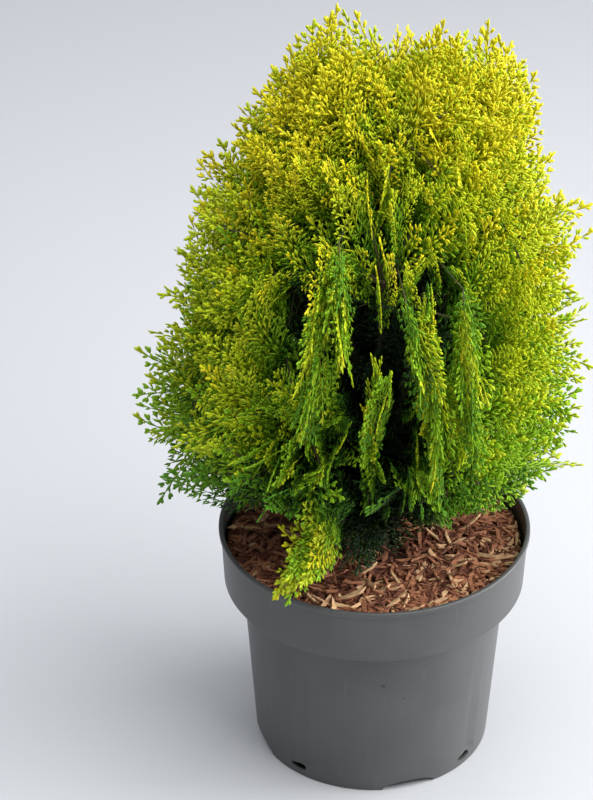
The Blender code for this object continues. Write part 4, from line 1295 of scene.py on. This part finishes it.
def brightness(point, rng):
    """1 is the most golden. The crest is brightest; the underside and the dips between tufts get painted
    shade.
    """
    height = np.clip((point[2] - BRIGHT_FROM) / BRIGHT_OVER, 0.0, 1.0)
    low = np.clip(1.0 - (point[2] - crown_base(point)) / UNDERSIDE, 0.0, 1.0)
    value = LEAST_VALUE + HEIGHT_VALUE * height - UNDERSIDE_SHADE_VALUE * low
    return value - DIP_SHADE_VALUE * float(hollowness(point)) + VALUE_SCATTER * rng.normal()


# %% Measures of twigs and their sprays
TWIGS = 22
CREST_SHARE = 1.5  # the crest is the densest part
TWIG_SPREAD = math.radians(125.0)
TURN_SHARE = 0.55  # of the room ahead, where a twig turns outwards
OUTWARD_SHARE = 0.62
SIDE_OUTWARD_SHARE = 0.15
SIDE_LOOK_AHEAD = 0.09
LEAST_SPACE = 0.008
PLANE_SPREAD = 0.42
SIDE_PLANE_SPREAD = 0.22
SPRAY_SPACING = 0.0145
SHORTEST_SPRAY = 0.016
TWIG_RADIUS = 0.0008
OUTER_TWIG_RADIUS = 0.0007
THIN_TWIG_RADIUS = 0.0005
TWIG_BEND = (0.0, 0.30)
TWIG_CURL = (-0.15, 0.25)
COVER_RAYS = 90  # directions from a mass's middle, of which those that reach the outline get a spray
COVER_SPRAY = (0.050, 0.078)
COVER_SCATTER = 0.16
COVER_ASIDE = 0.15  # the ray's share in the way that a cover spray grows
COVER_PROBE = 0.030  # a ray that is still in the crown this far on was stopped by a neighbour
HOLLOW_PROBE = 0.006  # and one in the hollow this far on by the hollow
GOLDEN_ANGLE = math.radians(137.5)
END_SPRAY = (0.056, 0.084)
SIDE_SPRAY = (0.040, 0.060)
SPRAY_LEAN = math.radians(40.0)
OVERSHOOT = (-0.022, 0.002)  # how far past the room ahead a spray's end may be


# %% Cover
def bend_up(heading, normal, rng):
    """The sideways bend of a spray's sheet that turns its tip upwards."""
    return rng.uniform(*TWIG_BEND) * float(np.cross(normal, heading)[2])


def nearest_on_stem(mass, point):
    """The place on a mass's stem that is nearest to a point."""
    places = [mass.stem_point(share) for share in np.linspace(0.1, 1.0, 10)]
    return min(places, key=lambda place: np.linalg.norm(place - point))


def grow_cover(mass, rng):
    """Sprays with their tips spread over the outline, each on a thin twig, all growing one way."""
    middle = np.array(mass.middle)
    count = int(COVER_RAYS * CREST_SHARE) if mass.tier == "crest" else COVER_RAYS
    for k in range(count):
        height = 1 - 2 * (k + 0.5) / count
        around = k * GOLDEN_ANGLE + rng.uniform(-0.2, 0.2)
        flat = math.sqrt(1 - height * height)
        ray = np.array((math.cos(around) * flat, math.sin(around) * flat, height))
        space = room(mass, middle, ray)
        end = middle + ray * (space + rng.uniform(*OVERSHOOT))
        if in_crown(end + ray * COVER_PROBE) or in_hollow(end + ray * HOLLOW_PROBE):
            continue
        heading = unit(np.array(outward(end)) + rng.normal(0.0, COVER_SCATTER, 3) + ray * COVER_ASIDE)
        length = rng.uniform(*COVER_SPRAY)
        foot = end - heading * length
        while length > SHORTEST_SPRAY * 2 and not in_crown(foot):
            length *= 0.85
            foot = end - heading * length
        normal = spray_normal(heading, end, rng, PLANE_SPREAD)
        bend = bend_up(heading, normal, rng)
        value = brightness(end, rng)
        foliage.add_spray(mass.tier, foot, heading, normal, length, rng, value, rng.uniform(*TWIG_CURL), bend)
        foliage.add_twig(mass.tier, [nearest_on_stem(mass, foot), foot], [TWIG_RADIUS])


# %% Twigs of a clump
def turned_out(direction, point, share):
    """A direction, turned by a share towards the way out of the crown."""
    return unit(direction * (1 - share) + outward(point) * share)


def grow_clump(mass, rng):
    """Twigs on a spiral round the way the mass faces. Each turns outwards halfway to the outline."""
    facing = Vector(outward(mass.middle))
    side = facing.orthogonal().normalized()
    count = int(TWIGS * CREST_SHARE) if mass.tier == "crest" else TWIGS
    for k in range(count):
        tilt = TWIG_SPREAD * math.sqrt((k + 0.4) / count)
        turned = Matrix.Rotation(k * GOLDEN_ANGLE, 3, facing) @ side
        direction = np.array(facing * math.cos(tilt) + turned * math.sin(tilt))
        start = mass.stem_point(rng.uniform(0.05, 0.95))
        space = room(mass, start, direction)
        if space < LEAST_SPACE:
            continue
        turning = start + direction * space * TURN_SHARE
        heading = turned_out(direction, turning, OUTWARD_SHARE)
        ahead = room(mass, turning, heading)
        if ahead < SHORTEST_SPRAY:
            continue
        spray = min(rng.uniform(*END_SPRAY), ahead)
        end = turning + heading * max(ahead - spray + rng.uniform(*OVERSHOOT), 0.0)
        grow_twig(mass, [start, turning, end], heading, spray, rng)


# %% A twig with its sprays
def step_lengths(path):
    return [np.linalg.norm(second - first) for first, second in zip(path, path[1:])]


def along_path(path, share):
    """A point at a share of a path's length, and the heading there."""
    steps = step_lengths(path)
    left = share * sum(steps)
    for first, second, step in zip(path, path[1:], steps):
        if left <= step and step > 0:
            return first + (second - first) * left / step, unit(second - first)
        left -= step
    return path[-1], unit(path[-1] - path[-2])


def grow_twig(mass, path, heading, spray, rng):
    """A twig with a spray at its end and others by turns along it."""
    foliage.add_twig(mass.tier, path, [TWIG_RADIUS, OUTER_TWIG_RADIUS])
    end = path[-1]
    normal = spray_normal(heading, end, rng, PLANE_SPREAD)
    value = brightness(end + heading * spray, rng)
    bend = bend_up(heading, normal, rng)
    foliage.add_spray(mass.tier, end, heading, normal, spray, rng, value, rng.uniform(*TWIG_CURL), bend)
    sides = int(sum(step_lengths(path)) / SPRAY_SPACING)
    for i in range(sides):
        place, along = along_path(path, (i + 0.6) / sides)
        lean = Matrix.Rotation((1 if i % 2 else -1) * SPRAY_LEAN * rng.uniform(0.6, 1.2), 3, Vector(normal))
        own = turned_out(np.array(lean @ Vector(along)), place, SIDE_OUTWARD_SHARE)
        space = room(mass, place, own, SIDE_LOOK_AHEAD) + rng.uniform(*OVERSHOOT)
        reach = min(rng.uniform(*SIDE_SPRAY), space)
        if reach > SHORTEST_SPRAY:
            value = brightness(place + own * reach, rng)
            tilt = Matrix.Rotation(rng.normal(0.0, SIDE_PLANE_SPREAD), 3, Vector(own))
            plane = np.array(tilt @ Vector(normal))
            foliage.add_spray(mass.tier, place, own, plane, reach, rng, value, rng.uniform(*TWIG_CURL))


# %% [markdown]
# ## Strands, hanging shoots and stray shoots
# At the front a few shoots leave the rule. Strands are narrow plumes: short sprays lie nearly along the stem,
# by turns on its two sides, and each covers the foot of the next. One strand creeps over the mulch, and its
# sprays stand up from it. Hanging shoots bend over the hollow in the same way on thin twigs. Last, a few
# stray shoots have outrun their neighbours and break the outline.

# %% Strands
STRAND_SPRAYS = 36
STRAND_LEAN = (8.0, 24.0)  # degrees from the stem
STRAND_SPRAY = (0.028, 0.050)
STRAND_VALUE = 0.62
VALUE_SPREAD = 0.14
SHINGLE_SPREAD = 0.32
SHINGLE_ASIDE = 0.0020
SHINGLE_CURL = (-0.1, 0.2)
CREEPING_LIFTS = ((0.8, 1.35), (-0.1, 0.35))  # of the sprays by turns, in radians above the stem
CREEPING_NORMAL = np.array((0.45, -0.80, 0.35))
CREEPING_FROM = 1.45  # its sprays are this share of a hung strand's at the foot
CREEPING_TAPER = 0.85
CREEPING_BRIGHTER = 0.05


def add_shingle(tier, place, along, k, length, rng):
    """Spray number k of a row. It leans a little from its stem, by turns to its two sides."""
    normal = spray_normal(along, place, rng, SHINGLE_SPREAD)
    place = place + normal * rng.normal(0.0, SHINGLE_ASIDE)
    lean = (1 if k % 2 else -1) * math.radians(rng.uniform(*STRAND_LEAN))
    heading = np.array(Matrix.Rotation(lean, 3, Vector(normal)) @ Vector(along))
    value = STRAND_VALUE + VALUE_SPREAD * rng.normal()
    foliage.add_spray(tier, place, heading, normal, length, rng, value, rng.uniform(*SHINGLE_CURL))


def grow_hung_strand(mass, rng):
    """Sprays by turns on both sides of a stem, each overlapping the next like shingles."""
    for k in range(STRAND_SPRAYS):
        share = 0.02 + 0.98 * k / (STRAND_SPRAYS - 1)
        place, along = mass.stem_point(share), mass.stem_heading(share)
        length = max(min(rng.uniform(*STRAND_SPRAY), room(mass, place, along)), SHORTEST_SPRAY)
        add_shingle("strands", place, along, k, length, rng)


def grow_creeping_strand(mass, rng):
    """Sprays on a stem that creeps over the mulch. Every second one stands up, and they shorten."""
    for k in range(STRAND_SPRAYS):
        share = 0.02 + 0.96 * k / (STRAND_SPRAYS - 1)
        place, along = mass.stem_point(share), mass.stem_heading(share)
        lift = rng.uniform(*CREEPING_LIFTS[k % 2])
        heading = unit(along * math.cos(lift) + UP * math.sin(lift) + rng.normal(0.0, 0.12, 3))
        normal = unit(np.cross(heading, np.cross(CREEPING_NORMAL, heading)))
        length = max(rng.uniform(*STRAND_SPRAY) * (CREEPING_FROM - CREEPING_TAPER * share), SHORTEST_SPRAY)
        value = STRAND_VALUE + CREEPING_BRIGHTER + VALUE_SPREAD * rng.normal()
        curl = rng.uniform(*SHINGLE_CURL)
        foliage.add_spray("strands", place, heading, normal, length, rng, value, curl)


# %% Hanging shoots
HANGING = (  # upper end, lower end
    ((0.013, -0.104, 0.396), (0.022, -0.117, 0.358)),
    ((0.048, -0.096, 0.396), (0.054, -0.111, 0.312)),
    ((-0.026, -0.090, 0.424), (-0.022, -0.110, 0.382)),
)
HANGING_SPACING = 0.0030
HANGING_ROOT = (0.75, 0.70, 1.0)  # the shoot starts at these shares of its upper end's place


def grow_hanging(mass, upper, lower, rng):
    """A shoot that bends over and hangs down before the crown."""
    upper, lower = np.array(upper), np.array(lower)
    foliage.add_twig(mass.tier, [upper * HANGING_ROOT, upper, lower], [THIN_TWIG_RADIUS] * 2)
    run = lower - upper
    count = int(np.linalg.norm(run) / HANGING_SPACING)
    for k in range(count):
        length = rng.uniform(*STRAND_SPRAY)
        add_shingle(mass.tier, upper + run * k / count, unit(run), k, length, rng)


# %% Stray shoots
STRAYS = (  # mass, tip
    ("leader", (-0.031, 0.000, 0.529)),
    ("crest_front", (0.038, -0.008, 0.527)),
    ("crest_right", (0.068, 0.016, 0.520)),
    ("crest_right", (0.078, -0.004, 0.504)),
    ("skirt_4", (-0.143, -0.012, 0.186)),
    ("skirt_4", (-0.140, -0.030, 0.246)),
    ("waist_5", (-0.138, -0.020, 0.300)),
    ("skirt_1", (0.130, -0.040, 0.240)),
    ("shoulder_2", (0.131, -0.006, 0.402)),
    ("waist_2", (0.138, -0.012, 0.290)),
)
STRAY_SPRAY = 0.062
STRAY_BRIGHTER = 0.15
STRAY_SPREAD = 0.5
STRAY_CURL = 0.1
STRAY_FORK = ((0.0, 0.0), (0.35, 0.022), (-0.35, 0.030))  # each spray's turn in radians and way back


def grow_stray(mass, tip, rng):
    """A shoot that has outrun its neighbours."""
    tip = np.array(tip)
    stem = mass.stem_point(0.7)
    heading = unit(tip - stem)
    foot = tip - heading * STRAY_SPRAY
    foliage.add_twig(mass.tier, [stem, foot], [TWIG_RADIUS])
    for turn, back in STRAY_FORK:
        place = foot - heading * back
        normal = spray_normal(heading, place, rng, STRAY_SPREAD)
        own = np.array(Matrix.Rotation(turn, 3, Vector(normal)) @ Vector(heading))
        value = brightness(tip, rng) + STRAY_BRIGHTER
        foliage.add_spray(mass.tier, place, own, normal, STRAY_SPRAY, rng, value, STRAY_CURL)


# %% [markdown]
# ## Inside the crown
# Old sprays on the trunk and the boughs sit in the shade, and their colour is the darkest tone, a near-black
# green that is painted shade. They keep the light out, so that the hollow and the gaps between tufts look
# deep.
# None of them reaches the outline.

# %% Old shaded sprays
# this value gives the inner sprays the painted shade tone
SHADED_VALUE = -0.10
SHADED_SPRAY = (0.034, 0.062)
SHADED_SPREAD = 1.2
SHADED_CURL = (-0.2, 0.2)
TRUNK_SPRAYS = 190
TRUNK_SPRAYS_FROM = 0.166
TRUNK_SPRAYS_TO = 0.375
BOUGH_SPRAYS = 18
SHADED_INSET = 0.012  # they end at least this far inside the outline
INSIDE_SEED = 7


def add_shaded(tier, place, heading, rng):
    """A spray in the painted shade tone, unless it would come near the outline."""
    normal = spray_normal(heading, place + heading * 0.01, rng, SHADED_SPREAD)
    length = rng.uniform(*SHADED_SPRAY)
    if not in_crown(place + heading * (length + SHADED_INSET), tier == "strands"):
        return
    curl = rng.uniform(*SHADED_CURL)
    foliage.add_spray(tier, place, heading, normal, length, rng, SHADED_VALUE, curl)


def grow_inside():
    """Sprays in the painted shade tone on a spiral up the trunk, which keep the light out of the crown."""
    rng = np.random.default_rng(INSIDE_SEED)
    for k in range(TRUNK_SPRAYS):
        height = TRUNK_SPRAYS_FROM + (TRUNK_SPRAYS_TO - TRUNK_SPRAYS_FROM) * k / TRUNK_SPRAYS
        azimuth = k * GOLDEN_ANGLE
        lift = rng.uniform(0.2, 1.0)
        heading = unit(np.array((math.cos(azimuth), math.sin(azimuth), lift)))
        add_shaded("waist", np.array(trunk_point(height)), heading, rng)


def grow_along_bough(mass, rng):
    """Sprays in the painted shade tone by turns along the outer part of a bough."""
    if mass.root_height:
        path = bough_path(mass)
    else:
        path = [Vector(mass.stem_point(0.05 * i)) for i in range(20)]
    for k in range(BOUGH_SPRAYS):
        i = 1 + int((len(path) - 2) * (0.10 + 0.88 * k / BOUGH_SPRAYS))
        along = (path[i] - path[i - 1]).normalized()
        turn = Matrix.Rotation(k * GOLDEN_ANGLE, 3, along)
        heading = (along + turn @ along.orthogonal().normalized() * 0.9).normalized()
        add_shaded(mass.tier, np.array(path[i]), np.array(heading), rng)


# %% Grow everything
MASS_SEED = 100
STRAY_SEED = 20
HANGING_SEED = 40

for seed, mass in enumerate(MASSES):
    rng = np.random.default_rng(MASS_SEED + seed)
    if mass.name == "strand_low":
        grow_creeping_strand(mass, rng)
    elif mass.strand:
        grow_hung_strand(mass, rng)
    else:
        grow_clump(mass, rng)
        grow_cover(mass, rng)
    grow_along_bough(mass, rng)
by_name = {mass.name: mass for mass in MASSES}
for seed, (name, tip) in enumerate(STRAYS):
    grow_stray(by_name[name], tip, np.random.default_rng(STRAY_SEED + seed))
for seed, (upper, lower) in enumerate(HANGING):
    grow_hanging(by_name["shoulder_1"], upper, lower, np.random.default_rng(HANGING_SEED + seed))
grow_inside()
print("sprays:", foliage.sprays, "twigs:", sum(len(twigs) for twigs in foliage.twigs.values()))

# %% [markdown]
# ## From rows to meshes
# All the branchlets of a tier are now rows of feet, tips and widths. Each row's brightness falls from the
# spray's own value with its way back from the tip, and with its depth in the crown as painted shade, and
# picks one of the six tones. A tier's rows of one tone become one mesh.

# %% Tones and meshes
BACK_FADE = 4.7  # brightness lost in each metre behind the tip of the spray
# painted shade: a shoot deep inside the crown is darkened in colour, less so towards the open top
DEPTH_SHADE = 1.1  # and for each half width of the crown inside the bright shell
BRIGHT_SHARE = 0.80
OPEN_FROM = 0.495  # above this height the depth costs nothing
OPEN_OVER = 0.100  # and it costs all of it this far below
CLUB_REACH = 0.013  # branchlets further behind the tip are spindles
CLUB_TONES = 4  # and so are those of the darker tones
THICKNESS_SHARE = 0.46


def tones_of(rows):
    """The number of each row's tone."""
    depth = np.clip(BRIGHT_SHARE - crown_share(rows["tip"]), 0.0, 1.0)
    covered = np.clip((OPEN_FROM - rows["tip"][:, 2]) / OPEN_OVER, 0.0, 1.0)
    value = rows["value"] - rows["back"] * BACK_FADE - depth * covered * DEPTH_SHADE
    tone = np.zeros(len(value), int)
    for step in TONE_STEPS:
        tone += value < step
    return tone


def branch_axes(rows):
    """Three axes for each row: along it, across it in the spray's plane, and through it."""
    along = rows["tip"] - rows["base"]
    direction = unit(along)
    across = unit(np.cross(rows["normal"], direction))
    through = np.cross(direction, across)
    width = rows["width"][:, None]
    return np.stack((along, across * width, through * width * THICKNESS_SHARE), axis=1)


def pick(rows, chosen):
    """The chosen ones of some rows."""
    return {key: values[chosen] for key, values in rows.items()}


# %% One mesh for each tier and tone
total = 0
for tier, batches in foliage.rows.items():
    rows = {key: np.concatenate([batch[key] for batch in batches]) for key in batches[0]}
    tone = tones_of(rows)
    full = rows["club"] & (rows["back"] < CLUB_REACH) & (tone < CLUB_TONES)
    nodes = [f"foliage_{mass.name}" for mass in MASSES if mass.tier == tier]
    for index, name in enumerate(TONES):
        parts = []
        for shape, chosen in ((CLUB, full), (SPINDLE, ~full)):
            own = pick(rows, (tone == index) & chosen)
            if len(own["base"]):
                parts.append(set_down(shape, own["base"], branch_axes(own)))
        if parts:
            mesh = joined_mesh(f"{name}_shoots_{tier}", parts)
            mesh.shade_smooth()
            add_piece(mesh, LEAF_FINISHES[name], nodes)
            total += len(mesh.polygons)
            print(mesh.name, len(mesh.polygons))
print("faces of foliage:", total)


# %% Twigs
STICK_OVERLAP = 1.04  # each piece of a twig runs a little into the next
ASIDE = UP + 0.01  # no piece points exactly this way, so its cross product is never zero


def stick():
    """A closed five-sided taper along X."""
    bm = bmesh.new()
    place = Matrix.Translation((0.5, 0.0, 0.0)) @ Matrix.Rotation(math.radians(90.0), 4, "Y")
    bmesh.ops.create_cone(bm, cap_ends=True, segments=5, radius1=1, radius2=0.75, depth=1, matrix=place)
    return template(bm)


STICK = stick()
for tier, rows in foliage.twigs.items():
    first, second = (np.array([row[k] for row in rows]) for k in (0, 1))
    radius = np.array([row[2] for row in rows])[:, None]
    along = second - first
    across = unit(np.cross(along, ASIDE))
    through = unit(np.cross(along, across))
    axes = np.stack((along * STICK_OVERLAP, across * radius, through * radius), axis=1)
    mesh = joined_mesh(f"twigs_{tier}", [set_down(STICK, first, axes)])
    mesh.shade_smooth()
    add_piece(mesh, TWIG_BARK)

# %% [markdown]
# ## The floor
# The plant stands on a plain pale floor, which isn't part of it.

# %% Floor
floor_form = bmesh.new()
bmesh.ops.create_grid(floor_form, x_segments=1, y_segments=1, size=4.0)
floor = bpy.data.objects.new("floor", smoothed(mesh_from(floor_form, "floor")))
bpy.context.scene.collection.objects.link(floor)
floor.data.materials.append(Finish("pale_floor", 0.6).wear(rgb(0.47, 0.485, 0.51)))
